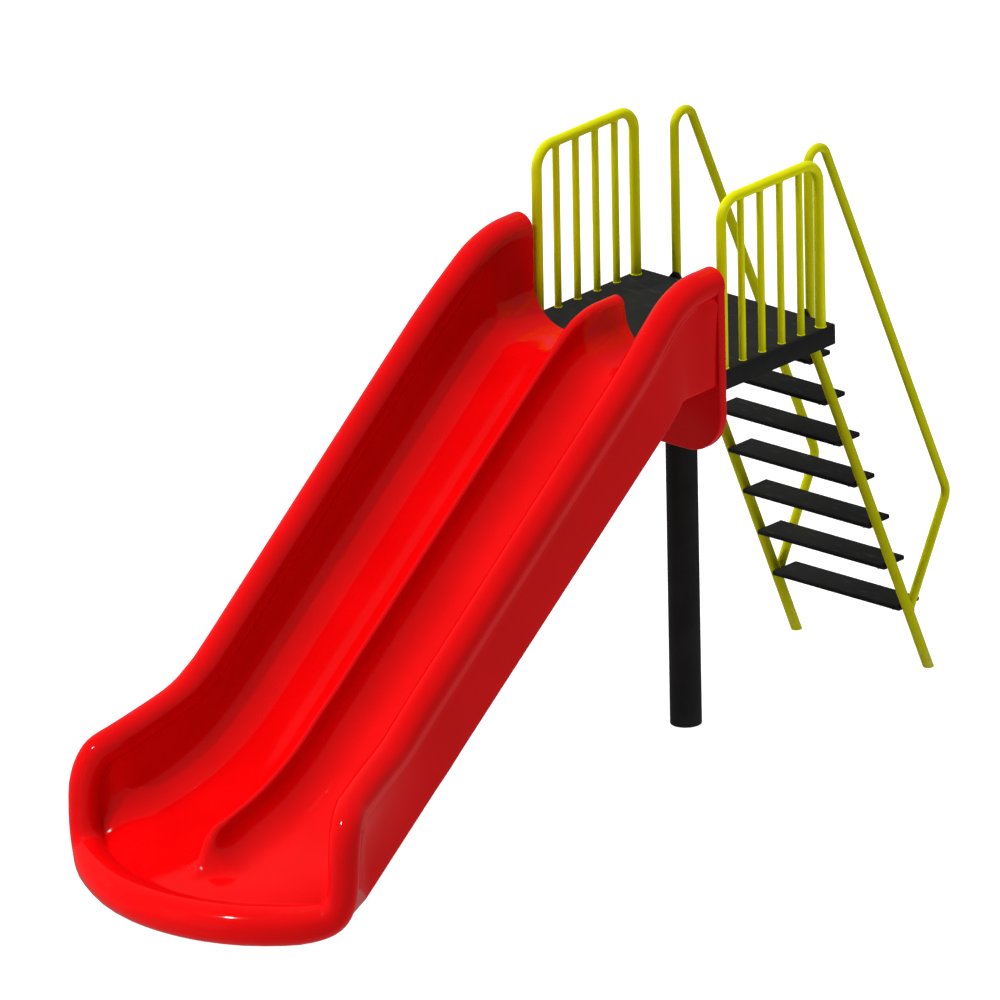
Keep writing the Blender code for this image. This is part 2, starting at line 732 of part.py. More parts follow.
def make_frame(mat):
    reach = DECK_HALF_WIDTH - DECK_SHEET - CLEAR
    high = DECK_TOP - DECK_SHEET - CLEAR
    for name, y in (("bearer_front", POST_Y - 0.085), ("bearer_rear", POST_Y + 0.085)):
        plate(name, box_outline(y - 0.025, high - 0.069, y + 0.025, high), "x", -reach, reach, mat)
    low = high - 0.069 - CLEAR
    plate("post_top_plate", box_outline(-0.13, POST_Y - 0.13, 0.13, POST_Y + 0.13), "z", low - 0.010, low, mat)
    ring = []
    sides = 40
    for k in range(sides):
        turn = 2 * math.pi * k / sides
        ring.append((POST_RADIUS * math.cos(turn), POST_Y + POST_RADIUS * math.sin(turn)))
    plate("support_post", ring, "z", 0.0, low - 0.010 - CLEAR, mat, 40)


def make_baluster(name, x, y, mat):
    """A thin upright whose top end is hollowed to sit under the round rail."""
    sides = 16
    verts = []
    faces = []
    for level in range(2):
        for k in range(sides):
            turn = 2 * math.pi * (k + 0.5) / sides
            px = BALUSTER_RADIUS * math.cos(turn)
            py = BALUSTER_RADIUS * math.sin(turn)
            if level == 0:
                pz = DECK_TOP + CLEAR
            else:
                pz = GUARD_RAIL_Z - math.sqrt((GUARD_RADIUS + CLEAR) ** 2 - px ** 2)
            verts.append((x + px, y + py, pz))
    for k in range(sides):
        n = (k + 1) % sides
        faces.append((k, n, n + sides, k + sides))
    faces.append(tuple(range(sides)))
    for k in range(sides // 2 - 1):
        a = sides + k
        b = sides + k + 1
        c = sides + sides - 2 - k
        d = sides + sides - 1 - k
        faces.append((a, b, c, d))
    return new_object(name, verts, faces, mat, 40)


def make_guard(side, sign, mat):
    x = sign * GUARD_X
    corners = [(GUARD_REAR_Y, DECK_TOP + CLEAR), (GUARD_REAR_Y, GUARD_RAIL_Z),
               (GUARD_FRONT_Y, GUARD_RAIL_Z), (GUARD_FRONT_Y, DECK_TOP + CLEAR)]
    tube("guard_frame_" + side, rounded_path(corners, [GUARD_BEND, GUARD_BEND]), x, GUARD_RADIUS, mat)
    pitch = (GUARD_REAR_Y - GUARD_FRONT_Y) / (BALUSTER_COUNT + 1)
    for k in range(BALUSTER_COUNT):
        make_baluster("baluster_%s_%d" % (side, k + 1), x, GUARD_REAR_Y - pitch * (k + 1), mat)


# The ladder
def stringer_y(z):
    return STRINGER_Y_AT_DECK + (DECK_TOP - z) / STRINGER_SLOPE


def make_stringer(side, sign, mat):
    """A sloping round tube cut level at both ends."""
    sides = 24
    verts = []
    faces = []
    fall = math.atan(STRINGER_SLOPE)
    for z in (0.0, STRINGER_TOP_Z):
        for k in range(sides):
            turn = 2 * math.pi * (k + 0.5) / sides
            px = sign * LADDER_X + STRINGER_RADIUS * math.cos(turn)
            py = stringer_y(z) + STRINGER_RADIUS * math.sin(turn) / math.sin(fall)
            verts.append((px, py, z))
    for k in range(sides):
        n = (k + 1) % sides
        faces.append((k, n, n + sides, k + sides))
    faces.append(tuple(range(sides)))
    faces.append(tuple(range(sides, 2 * sides)))
    return new_object("stringer_" + side, verts, faces, mat, 40)


def make_treads(mat):
    for k in range(TREAD_COUNT):
        top = TREAD_TOP_Z - TREAD_RISE * k
        rear = TREAD_REAR_Y + TREAD_GOING * k
        front = rear - TREAD_DEPTH
        low = top - TREAD_THICK
        outline = []
        edge = 0.004
        for cy, cz, first in ((front + edge, low + edge, 180), (rear - edge, low + edge, 270),
                              (rear - edge, top - edge, 0), (front + edge, top - edge, 90)):
            for j in range(3):
                turn = math.radians(first + 45 * j)
                outline.append((cy + edge * math.cos(turn), cz + edge * math.sin(turn)))
        plate("tread_%d" % (k + 1), outline, "x", -TREAD_HALF, TREAD_HALF, mat, 50)


def make_handrail(side, sign, mat):
    """The loop at the top is one arc between the upright leg and the leg that falls with the ladder."""
    centre = Vector((HANDRAIL_LEG_Y + HANDRAIL_LOOP_RADIUS, HANDRAIL_LOOP_Z))
    elbow = Vector(HANDRAIL_ELBOW)
    span = elbow - centre
    lean = math.atan2(span.y, span.x) + math.acos(HANDRAIL_LOOP_RADIUS / span.length)
    path = [Vector((HANDRAIL_LEG_Y, STRINGER_TOP_Z + CLEAR))]
    steps = 18
    for k in range(steps + 1):
        angle = math.pi + (lean - math.pi) * k / steps
        path.append(centre + Vector((math.cos(angle), math.sin(angle))) * HANDRAIL_LOOP_RADIUS)
    tail = rounded_path([tuple(path[-1]), HANDRAIL_ELBOW, HANDRAIL_FOOT], [0.07])
    path += tail[1:]
    lean = []
    for point in path:
        share = 0.0
        if point.x > centre.x:
            share = smooth_step(HANDRAIL_LOOP_Z - point.y, -0.05, 1.45)
        lean.append(sign * (HANDRAIL_X + (HANDRAIL_LOW_X - HANDRAIL_X) * share))
    rail = tube("handrail_" + side, path, lean, HANDRAIL_RADIUS, mat)
    cutter = make_cope(sign, mat)
    apply_boolean(rail, cutter, "DIFFERENCE")
    rail.data.shade_smooth()
    rail.data.set_sharp_from_angle(angle=math.radians(40))
    return rail


def make_cope(sign, mat):
    """A tube a little fatter than the stringer, which hollows the handrail's lower end."""
    sides = 24
    grown = STRINGER_RADIUS + 0.0004
    fall = math.atan(STRINGER_SLOPE)
    verts = []
    faces = []
    for z in (0.10, 0.45):
        for k in range(sides):
            turn = 2 * math.pi * (k + 0.5) / sides
            verts.append((sign * LADDER_X + grown * math.cos(turn),
                          stringer_y(z) + grown * math.sin(turn) / math.sin(fall), z))
    for k in range(sides):
        n = (k + 1) % sides
        faces.append((k, n, n + sides, k + sides))
    faces.append(tuple(range(sides)))
    faces.append(tuple(range(sides, 2 * sides)))
    return new_object("cope", verts, faces, mat)


def make_bracket(side, sign, mat):
    """A flat plate on the deck's rear face that carries the handrail leg and the stringer's head."""
    middle = HANDRAIL_X - 0.012
    outline = [(middle - 0.028, 1.380), (middle + 0.028, 1.380), (middle + 0.028, 1.522),
               (middle + 0.010, 1.543), (middle - 0.014, 1.543), (middle - 0.028, 1.528)]
    if sign < 0:
        outline = [(-p, q) for p, q in outline]
    plate("ladder_bracket_" + side, outline, "y", CLEAR, HANDRAIL_LEG_Y - HANDRAIL_RADIUS - CLEAR, mat)


def make_exit_foot(mat):
    """A low steel shoe that carries the run-out, out of sight under the exit. Its top follows the
    slope of the chute's underside."""
    outline = [(EXIT_FOOT_FRONT[0], 0.0), (EXIT_FOOT_REAR[0], 0.0), EXIT_FOOT_REAR, EXIT_FOOT_FRONT]
    plate("exit_foot", outline, "x", -EXIT_FOOT_HALF, EXIT_FOOT_HALF, mat)


def build():
    clear_scene()
    red = material("red_plastic", (0.78, 0.0, 0.002), 0.22, 0.0)
    yellow = material("yellow_coating", (0.62, 0.62, 0.0), 0.35, 0.0)
    black = material("black_steel", (0.02, 0.02, 0.02), 0.5, 0.0)
    make_chute(red)
    make_deck(black)
    make_frame(black)
    for side, sign in (("left", -1), ("right", 1)):
        make_guard(side, sign, yellow)
        make_stringer(side, sign, yellow)
        make_handrail(side, sign, yellow)
        make_bracket(side, sign, black)
    make_treads(black)
    make_exit_foot(black)


build()
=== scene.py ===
# %% [markdown]
# # A two-lane playground slide
# The solids of this slide are already built. This lesson dresses them: it lays finer
# skins over the solids, adds the welds and fixings, gives every surface its finish, and sets up a
# studio with a camera that looks from the side of the photograph.

# %% Load the solids
import math
from collections import namedtuple

import bmesh
import bpy
from mathutils import Matrix, Vector


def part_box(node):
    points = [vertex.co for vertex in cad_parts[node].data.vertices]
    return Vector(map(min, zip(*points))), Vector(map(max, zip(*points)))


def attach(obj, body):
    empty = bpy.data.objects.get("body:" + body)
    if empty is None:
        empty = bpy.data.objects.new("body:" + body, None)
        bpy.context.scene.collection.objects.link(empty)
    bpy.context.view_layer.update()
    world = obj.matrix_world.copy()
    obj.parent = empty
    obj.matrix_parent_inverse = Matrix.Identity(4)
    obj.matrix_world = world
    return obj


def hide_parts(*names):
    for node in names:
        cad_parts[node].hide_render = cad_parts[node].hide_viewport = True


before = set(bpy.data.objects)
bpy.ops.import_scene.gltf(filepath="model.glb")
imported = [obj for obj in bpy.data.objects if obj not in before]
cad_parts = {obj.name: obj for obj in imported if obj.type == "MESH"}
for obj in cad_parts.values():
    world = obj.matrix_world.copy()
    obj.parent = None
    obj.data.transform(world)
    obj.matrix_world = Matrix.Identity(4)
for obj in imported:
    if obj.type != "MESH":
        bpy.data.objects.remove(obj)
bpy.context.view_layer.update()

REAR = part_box("deck_pan")[1].y
print("nodes:", len(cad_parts), "deck's rear edge at y =", round(REAR, 4))

# %% [markdown]
# ## Sizes
# Every size is measured from the deck's rear edge, on the centre plane, at ground level, just as a
# fitter would tape it on site. The real frame is 38 mm and 33 mm tube on a 114 mm post. Keeping the
# sizes here, in one place, keeps each skin on its solid.

# %% Sizes
DECK_TOP = 1.524
DECK_HALF = 0.456
DECK_DEPTH = 0.6597
DECK_LIP = 0.075
SHEET = 0.005
POST_RADIUS = 0.05715
POST_Y = -0.325
GUARD_X = 0.4317
GUARD_REAR_Y = -0.0568
GUARD_FRONT_Y = -0.5880
GUARD_RAIL_Z = 2.153
GUARD_RADIUS = 0.0194
BALUSTER_RADIUS = 0.0131
LADDER_X = 0.3083
STRINGER_RADIUS = 0.019
STRINGER_SLOPE = 2.334
STRINGER_TOP_Z = 1.400
TREADS = 7
TREAD_TOP_Z = 1.3382
TREAD_RISE = 0.1781
TREAD_GOING = 0.0764
TREAD_REAR_Y = 0.1598
TREAD_DEPTH = 0.131
TREAD_THICK = 0.018
TREAD_HALF = 0.2890
RAIL_RADIUS = 0.0167
RAIL_X = 0.3125
RAIL_LOW_X = 0.3062
RAIL_LEG_Y = 0.0255
LOOP_RADIUS = 0.0514
LOOP_Z = 2.0827
RAIL_ELBOW = (0.7560, 0.6340)
RAIL_FOOT = (0.5450, 0.2500)
# each piece stands this far from the next one
GAP = 0.0003
# the solids' tubes have 20 flats, and a round skin stays inside them at this share of the radius
WITHIN = math.cos(math.pi / 20)
SIDES = (("left", -1), ("right", 1))
print("tread tops:", [round(TREAD_TOP_Z - TREAD_RISE * k, 3) for k in range(TREADS)])

# %% [markdown]
# ## A small kit for shapes
# Most of this slide is tube, bent sheet and weld. Each is a row of loops joined by faces, so one
# class that collects loops is enough. It keeps many small things, such as all the welds, in one
# mesh, which is how a fitter would count them too.

# %% Shapes
X, Y, Z = (Vector(way) for way in ((1, 0, 0), (0, 1, 0), (0, 0, 1)))
WELD_PITCH = 0.0032
WELD_RIPPLE = 0.16


class Shape:
    """Collects points and faces, and turns them into one piece."""

    def __init__(self):
        self.points = []
        self.faces = []

    def loft(self, loops, first=True, last=True):
        """Join loops of equal length; first and last say whether the ends are filled."""
        start = len(self.points)
        count = len(loops[0])
        for loop in loops:
            self.points += [Vector(p) for p in loop]
        for i in range(len(loops) - 1):
            for k in range(count):
                a = start + i * count + k
                b = start + i * count + (k + 1) % count
                self.faces.append((a, b, b + count, a + count))
        if first:
            self.faces.append(tuple(range(start + count - 1, start - 1, -1)))
        if last:
            end = start + (len(loops) - 1) * count
            self.faces.append(tuple(range(end, end + count)))
        return self

    def weld(self, loop, outward, radius, pitch=WELD_PITCH):
        """A hand weld along a closed loop: a bead whose swell repeats every few millimetres."""
        count = len(loop)
        waves = max(6, round(sum((loop[i] - loop[i - 1]).length for i in range(count)) / pitch))
        rows = []
        for i in range(count):
            along = (loop[(i + 1) % count] - loop[i - 1]).normalized()
            out = (outward[i] - along * outward[i].dot(along)).normalized()
            swell = radius * (1 + WELD_RIPPLE * math.sin(2 * math.pi * waves * i / count))
            rows.append(circle(loop[i], out, along.cross(out), swell, 8))
        return self.loft(rows + rows[:1], False, False)

    def finish(self, name, finish, sharp, replaces=()):
        """Make the object, smooth its round sides and hang it on the slide."""
        mesh = bpy.data.meshes.new(name)
        mesh.from_pydata([tuple(p + Vector((0, REAR, 0))) for p in self.points], [], self.faces)
        work = bmesh.new()
        work.from_mesh(mesh)
        bmesh.ops.remove_doubles(work, verts=work.verts, dist=0.00001)
        bmesh.ops.recalc_face_normals(work, faces=work.faces)
        work.to_mesh(mesh)
        work.free()
        mesh.shade_smooth()
        mesh.set_sharp_from_angle(angle=math.radians(sharp))
        mesh.materials.append(finish)
        piece = bpy.data.objects.new(name, mesh)
        bpy.context.scene.collection.objects.link(piece)
        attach(piece, "root")
        if replaces:
            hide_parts(*replaces)
        print(name, len(mesh.polygons), "faces")
        return piece


def circle(centre, across, upright, radius, sides, shift=0.0):
    """Points of a circle in the plane of two directions."""
    turns = [2 * math.pi * (k + shift) / sides for k in range(sides)]
    return [centre + across * (radius * math.cos(a)) + upright * (radius * math.sin(a)) for a in turns]


print("shape kit ready")

# %% [markdown]
# ## A small kit for finishes
# A finish is a formula over the surface, such as a speckle, a scratch or a fade. The first class
# wraps a socket, so the formula can be written with plain arithmetic. The second one builds the
# material and joins any other node in one line.

# %% Finishes
class Value:
    """A number that varies over the surface. Plain arithmetic on it adds Math nodes."""

    def __init__(self, finish, socket):
        self.finish = finish
        self.socket = socket

    def math(self, kind, *inputs):
        """A Math node; without inputs it works on this value alone."""
        return self.finish.node("ShaderNodeMath", {"operation": kind}, dict(enumerate(inputs or (self,))))

    def __add__(self, other):
        return self.math("ADD", self, other)

    def __radd__(self, other):
        return self.math("ADD", other, self)

    def __sub__(self, other):
        return self.math("SUBTRACT", self, other)

    def __rsub__(self, other):
        return self.math("SUBTRACT", other, self)

    def __mul__(self, other):
        return self.math("MULTIPLY", self, other)

    def __rmul__(self, other):
        return self.math("MULTIPLY", other, self)


class Finish:
    """A material under construction."""

    def __init__(self, name, slot=None, **constants):
        self.material = bpy.data.materials.new(name)
        self.material.use_nodes = True
        self.material["slot"] = slot or name
        self.tree = self.material.node_tree
        self.shader = self.tree.nodes["Principled BSDF"]
        for key, value in constants.items():
            self.shader.inputs[key.replace("_", " ")].default_value = value
        self.place = self.node("ShaderNodeTexCoord", {}, {}, "Object")

    def node(self, kind, settings, inputs, output=0):
        """Any node: its type, its settings, then its inputs by name or number."""
        made = self.tree.nodes.new(kind)
        for key, value in settings.items():
            setattr(made, key, value)
        for key, value in inputs.items():
            if isinstance(value, Value):
                self.tree.links.new(value.socket, made.inputs[key])
            else:
                made.inputs[key].default_value = value
        return Value(self, made.outputs[output])

    def stretched(self, x, y, z, turn=0.0):
        """The place on the object, scaled along each axis, so a pattern can run in streaks."""
        return self.node("ShaderNodeMapping", {},
                         {"Vector": self.place, "Rotation": (turn, 0, 0), "Scale": (x, y, z)})

    def noise(self, scale, detail=3.0, rough=0.5, where=None):
        return self.node("ShaderNodeTexNoise", {}, {"Vector": where or self.place, "Scale": scale,
                                                    "Detail": detail, "Roughness": rough})

    def ramp(self, value, low, high, to_low=0.0, to_high=1.0):
        """Value taken smoothly from one range to another."""
        return self.node("ShaderNodeMapRange", {"interpolation_type": "SMOOTHSTEP"},
                         {"Value": value, "From Min": low, "From Max": high,
                          "To Min": to_low, "To Max": to_high})

    def blend(self, share, first, second):
        """A colour between two others."""
        first, second = [v if isinstance(v, Value) else (*v, 1.0) for v in (first, second)]
        return self.node("ShaderNodeMix", {"data_type": "RGBA"}, {0: share, 6: first, 7: second}, 2)

    def axis(self, name):
        """The place along one axis of the object."""
        return self.node("ShaderNodeSeparateXYZ", {}, {0: self.place}, "XYZ".index(name))

    def facing(self):
        """How far the surface faces up, from -1 to 1."""
        normal = self.node("ShaderNodeNewGeometry", {}, {}, "Normal")
        return self.node("ShaderNodeSeparateXYZ", {}, {0: normal}, 2)

    def bump(self, height, distance, strength):
        return self.node("ShaderNodeBump", {},
                         {"Height": height, "Distance": distance, "Strength": strength})

    def set(self, **links):
        """Join values to the shader's own sockets."""
        for key, value in links.items():
            self.tree.links.new(value.socket, self.shader.inputs[key.replace("_", " ")])
        return self.material


print("finish kit ready")

# %% [markdown]
# ## The red plastic
# The chute is moulded from polyethylene that is coloured all through. It has a soft gloss, a fine
# orange-peel skin from the mould, and faint clouds where the pigment is not quite even. Years of
# trousers leave hair-fine streaks that run downhill in the lanes.

# %% The red plastic
def make_red():
    f = Finish("red_plastic", Roughness=0.12, Specular_IOR_Level=0.26, IOR=1.50)
    clouds = f.ramp(f.noise(3.2, 4.0), 0.30, 0.70)
    grain = f.noise(70.0, 2.0)
    base = f.blend(clouds, (0.450, 0.0005, 0.0009), (0.485, 0.0007, 0.0013))
    up = f.ramp(f.facing(), 0.55, 0.98)
    inside = f.ramp(f.axis("X").math("ABSOLUTE"), 0.36, 0.44, 1.0, 0.0)
    streaks = f.ramp(f.noise(1.0, 4.0, 0.65, f.stretched(190.0, 3.2, 3.2)), 0.60, 0.72)
    worn = streaks * up * inside
    f.set(Base_Color=f.blend(worn * 0.10, base, (0.51, 0.026, 0.030)))
    f.set(Roughness=0.060 + clouds * 0.025 + grain * 0.02 + worn * 0.10)
    peel = f.noise(210.0, 2.0, 0.45)
    swell = f.noise(11.0, 1.0, 0.4)
    return f.set(Normal=f.bump(peel * 0.35 + swell + streaks * up * 0.05, 0.0009, 0.22))


RED = make_red()
print("red plastic:", len(RED.node_tree.nodes), "nodes")

# %% [markdown]
# ## The yellow coating
# Guards, stringers and handrails are steel tube with a powder coating of acid yellow. Baked powder
# never lies quite flat, so it shows a fine orange peel. Dust clings near the ground, and tiny chips
# show the grey primer. The ladder and the handrails take darker copies of the same yellow, which
# paint in the shade that they stand in, so the tone is a setting.

# %% The yellow coating
def make_yellow(name, tone):
    f = Finish(name, "yellow_coating", Roughness=0.26, Specular_IOR_Level=0.06, IOR=1.50)
    clouds = f.ramp(f.noise(7.0, 3.0), 0.30, 0.70)
    base = f.blend(clouds, (tone * 0.94, tone * 0.945, 0.0009), (tone * 1.02, tone * 1.03, 0.0026))
    low = f.ramp(f.axis("Z"), 0.02, 0.22, 1.0, 0.0)
    dust = low * f.ramp(f.noise(38.0, 4.0, 0.7), 0.48, 0.66)
    chips = f.ramp(f.noise(120.0, 1.5, 0.5), 0.735, 0.765) * f.ramp(f.noise(9.0, 1.0), 0.50, 0.62)
    colour = f.blend(dust * 0.35, base, (0.40, 0.37, 0.14))
    f.set(Base_Color=f.blend(chips, colour, (0.22, 0.22, 0.19)))
    f.set(Roughness=0.24 + clouds * 0.07 + dust * 0.3 + chips * 0.3)
    peel = f.noise(420.0, 2.0, 0.5)
    return f.set(Normal=f.bump(peel * 0.55 + f.noise(60.0, 1.0) * 0.5 - chips * 0.6, 0.0006, 0.30))


YELLOW = make_yellow("guard_yellow", 0.492)
# the ladder's and the handrails' tones are painted shade: darker copies of the guards' yellow
LADDER_YELLOW_PAINTED_SHADE = make_yellow("ladder_yellow_painted_shade", 0.350)
RAIL_YELLOW_PAINTED_SHADE = make_yellow("handrail_yellow_painted_shade", 0.405)
print("yellow coating:", len(YELLOW.node_tree.nodes), "nodes")

# %% [markdown]
# ## The black coatings
# Deck and treads are dipped in thick black plastisol, which stays warm underfoot and grips a shoe.
# It has a leathery skin. Shoes leave grey scuffs and dust on the upward faces. The post and brackets
# get a thinner and harder black, so they are a shade deeper and glossier.

# %% The black coatings
def make_black(name, tone, scuff, leather):
    f = Finish(name, "black_steel", Roughness=0.5, Specular_IOR_Level=0.04, IOR=1.50)
    clouds = f.ramp(f.noise(9.0, 4.0, 0.6), 0.30, 0.72)
    base = f.blend(clouds, (tone * 0.86, tone * 0.86, tone * 0.87), (tone * 1.14, tone * 1.14, tone * 1.13))
    up = f.ramp(f.facing(), 0.75, 0.98)
    marks = f.ramp(f.noise(1.0, 5.0, 0.62, f.stretched(14.0, 46.0, 30.0, 0.4)), 0.56, 0.70)
    specks = f.ramp(f.noise(170.0, 2.0, 0.6), 0.66, 0.74)
    worn = (marks * 0.7 + specks * 0.5) * up * scuff
    f.set(Base_Color=f.blend(worn, base, (0.105, 0.103, 0.098)))
    f.set(Roughness=0.46 + clouds * 0.10 + worn * 0.25)
    cells = f.node("ShaderNodeTexVoronoi", {"feature": "SMOOTH_F1"}, {"Vector": f.place, "Scale": 260.0})
    fine = f.noise(520.0, 2.0, 0.5)
    return f.set(Normal=f.bump(cells * leather + fine * 0.35 + f.noise(40.0, 1.0) * 0.4, 0.0008, 0.35))


DIPPED = make_black("dipped_black", 0.0120, 0.13, 0.9)
TREADED = make_black("tread_black", 0.0088, 0.13, 0.9)
PAINTED = make_black("painted_black", 0.0115, 0.12, 0.25)
print("three blacks made")

# %% [markdown]
# ## Zinc
# Bolts and washers are zinc-plated and left bright. They sit out of sight below the deck, where a
# fitter reaches them with a spanner. The plating is dull, with a fine brushed grain.

# %% Zinc
def make_zinc():
    f = Finish("zinc", "black_steel", Metallic=1.0, Roughness=0.38)
    clouds = f.ramp(f.noise(55.0, 4.0, 0.6), 0.32, 0.70)
    f.set(Base_Color=f.blend(clouds, (0.40, 0.41, 0.42), (0.58, 0.58, 0.57)))
    f.set(Roughness=0.30 + clouds * 0.16)
    return f.set(Normal=f.bump(f.noise(900.0, 2.0), 0.0003, 0.25))


ZINC = make_zinc()
print("zinc:", len(ZINC.node_tree.nodes), "nodes")

# %% [markdown]
# ## Lines of the chute
# Seen from the side, the chute is made of a few plain lines. The floor lies level behind the deck,
# breaks down at 37 degrees, and turns through a long arc to a gentle run-out. The walls' beads and
# the ridge between the lanes follow their own lines. Each function gives the height at a place
# along the slide, so the skins can be as fine as the light needs.

# %% Lines of the chute
CHUTE_REAR_Y = -0.66
CHUTE_ANGLE = math.radians(37.4)
EXIT_ANGLE = math.radians(6.0)
SLOPE = math.tan(CHUTE_ANGLE)
FLOOR_Z = 1.533
FLOOR_ROUND = 0.148
FLOOR_LINE = (-0.910, FLOOR_Z)
FLOOR_REACH = FLOOR_ROUND * math.tan(CHUTE_ANGLE / 2)
RUNOUT_START_Y = -2.305
RUNOUT_ROUND = 1.15
FILLET = 0.148
BEAD = 0.060
BEAD_FLAT_Z = 1.873
BEAD_LINE = (-1.484, 1.3865)
BEAD_SLOPE = 0.7734
BEAD_ROUND = 0.34
BEAD_X_REAR = 0.4495
BEAD_X = 0.4743
BEAD_WIDENS = (0.78, 1.20)
CREST_FLAT_Z = 1.722
CREST_LINE = (-1.621, 1.152)
CREST_ROUND = 0.35
UNDER_DROP = 0.038
UNDER_EXIT_Z = 0.042
OUTER_X = 0.522
FLARE_START = -2.33
FLARE = 0.092
FLARE_POWER = 1.55
FLARE_END = -2.84
EXIT_CORNER_Y = -2.795


def along_line(y, point, slope=SLOPE):
    return point[1] + slope * (y - point[0])


def break_curve(flat_z, line, radius, y, slope=SLOPE):
    """Height of a level line that turns through an arc into a sloping line."""
    angle = math.atan(slope)
    corner = line[0] + (flat_z - line[1]) / slope
    start = corner + radius * math.tan(angle / 2)
    end = corner - radius * math.tan(angle / 2) * math.cos(angle)
    if y >= start:
        return flat_z
    if y <= end:
        return along_line(y, line, slope)
    return flat_z - radius + math.sqrt(radius ** 2 - (start - y) ** 2)


RUNOUT_CENTRE = (RUNOUT_START_Y - RUNOUT_ROUND * math.sin(CHUTE_ANGLE),
                 along_line(RUNOUT_START_Y, FLOOR_LINE) + RUNOUT_ROUND * math.cos(CHUTE_ANGLE))
RUNOUT_END_Y = RUNOUT_CENTRE[0] + RUNOUT_ROUND * math.sin(EXIT_ANGLE)


def floor_at(y):
    """Height of the floor and its fall angle."""
    if y > RUNOUT_START_Y:
        start = FLOOR_LINE[0] + FLOOR_REACH
        height = break_curve(FLOOR_Z, FLOOR_LINE, FLOOR_ROUND, y)
        if y >= start:
            return height, 0.0
        if y <= FLOOR_LINE[0] - FLOOR_REACH * math.cos(CHUTE_ANGLE):
            return height, CHUTE_ANGLE
        return height, math.asin((start - y) / FLOOR_ROUND)
    if y > RUNOUT_END_Y:
        rise = y - RUNOUT_CENTRE[0]
        return RUNOUT_CENTRE[1] - math.sqrt(RUNOUT_ROUND ** 2 - rise ** 2), math.asin(rise / RUNOUT_ROUND)
    end_z = RUNOUT_CENTRE[1] - RUNOUT_ROUND * math.cos(EXIT_ANGLE)
    return end_z + (y - RUNOUT_END_Y) * math.tan(EXIT_ANGLE), EXIT_ANGLE


print("floor at the exit:", round(floor_at(-3.0)[0], 3))

# %% [markdown]
# ## Bead, crest and underside
# The bead on each side wall stays about 30 cm above the floor and turns with it to a gentler slope
# before the exit. The ridge's crest runs with the floor, and the underside follows the floor at an
# even depth. The last function measures straight out of the floor to one of these lines.

# %% Bead, crest and underside
LEVEL_START = -2.37
LEVEL_ROUND = 0.60
LEVEL_ANGLE = math.radians(18.5)
BEAD_ANGLE = math.atan(BEAD_SLOPE)
LEVEL_CENTRE = (LEVEL_START - LEVEL_ROUND * math.sin(BEAD_ANGLE),
                along_line(LEVEL_START, BEAD_LINE, BEAD_SLOPE) + LEVEL_ROUND * math.cos(BEAD_ANGLE))
LEVEL_END = LEVEL_CENTRE[0] + LEVEL_ROUND * math.sin(LEVEL_ANGLE)


def bead_z(y):
    if y > LEVEL_START:
        return break_curve(BEAD_FLAT_Z, BEAD_LINE, BEAD_ROUND, y, BEAD_SLOPE)
    if y > LEVEL_END:
        return LEVEL_CENTRE[1] - math.sqrt(LEVEL_ROUND ** 2 - (y - LEVEL_CENTRE[0]) ** 2)
    end_z = LEVEL_CENTRE[1] - LEVEL_ROUND * math.cos(LEVEL_ANGLE)
    return end_z + (y - LEVEL_END) * math.tan(LEVEL_ANGLE)


def crest_z(y):
    return break_curve(CREST_FLAT_Z, CREST_LINE, CREST_ROUND, y)


def under_z(y):
    corner = (FLOOR_LINE[0] + UNDER_DROP * math.tan(CHUTE_ANGLE / 2), FLOOR_Z - UNDER_DROP)
    return max(UNDER_EXIT_Z, min(corner[1], along_line(y, corner)))


def smooth_step(value, low, high):
    t = min(1.0, max(0.0, (value - low) / (high - low)))
    return t * t * (3 - 2 * t)


def between(low, high, share):
    return low + (high - low) * share


def bead_x(y):
    widen = between(BEAD_X_REAR, BEAD_X, smooth_step(-y, *BEAD_WIDENS))
    if y > FLARE_START:
        return widen
    return widen + FLARE * ((FLARE_START - max(y, FLARE_END)) / (FLARE_START - FLARE_END)) ** FLARE_POWER


def cast(y, z, direction, height_of, low, high):
    """Distance from (y, z) along a direction to the line z = height_of(y)."""
    sign = z + low * direction[1] - height_of(y + low * direction[0])
    for _ in range(40):
        middle = (low + high) / 2
        value = z + middle * direction[1] - height_of(y + middle * direction[0])
        if (value > 0) == (sign > 0):
            low = middle
        else:
            high = middle
    return (low + high) / 2


print("bead near the exit:", round(bead_z(-2.7), 3))

# %% [markdown]
# ## Skins of the chute
# The chute has an inner sheet that people slide on and an outer sheet below it. A rim joins them: it
# runs down the walls, round the two exit corners and along the lip. A column of points runs the
# length of the chute. Column 0 is on the centre plane and the last one is at the top of the wall.

# %% Skins of the chute
FLOOR_COLUMNS = [0.0, 0.003, 0.006, 0.009, 0.0125, 0.018, 0.024, 0.032, 0.040, 0.050, 0.062, 0.076,
                 0.090, 0.106, 0.122, 0.140, 0.158]
FLOOR_COUNT = len(FLOOR_COLUMNS) - 1
FLOOR_EXTRA = 6
FILLET_STEPS = 16
WALL_STEPS = 2
FLOOR_LAST = FLOOR_COUNT + FLOOR_EXTRA
LAST = FLOOR_LAST + FILLET_STEPS + WALL_STEPS
WALL_START = 0.875
UNDER_LAST = LAST - 14
BEND_STEPS = 6
BEAD_STEPS = 24
EXIT_STEPS = 26
RIDGE_REAR = 0.035
RIDGE_THIN = 0.013
RIDGE_END = 0.026
# how far in front of the deck's rear edge a size starts to change, and how far it has changed
RIDGE_NARROWS = (0.70, 1.05)
RIDGE_WIDENS = (2.72, 2.94)
FILLET_TIGHTENS = (2.70, 3.00)
EXIT_WIDENS = (2.72, 2.82)
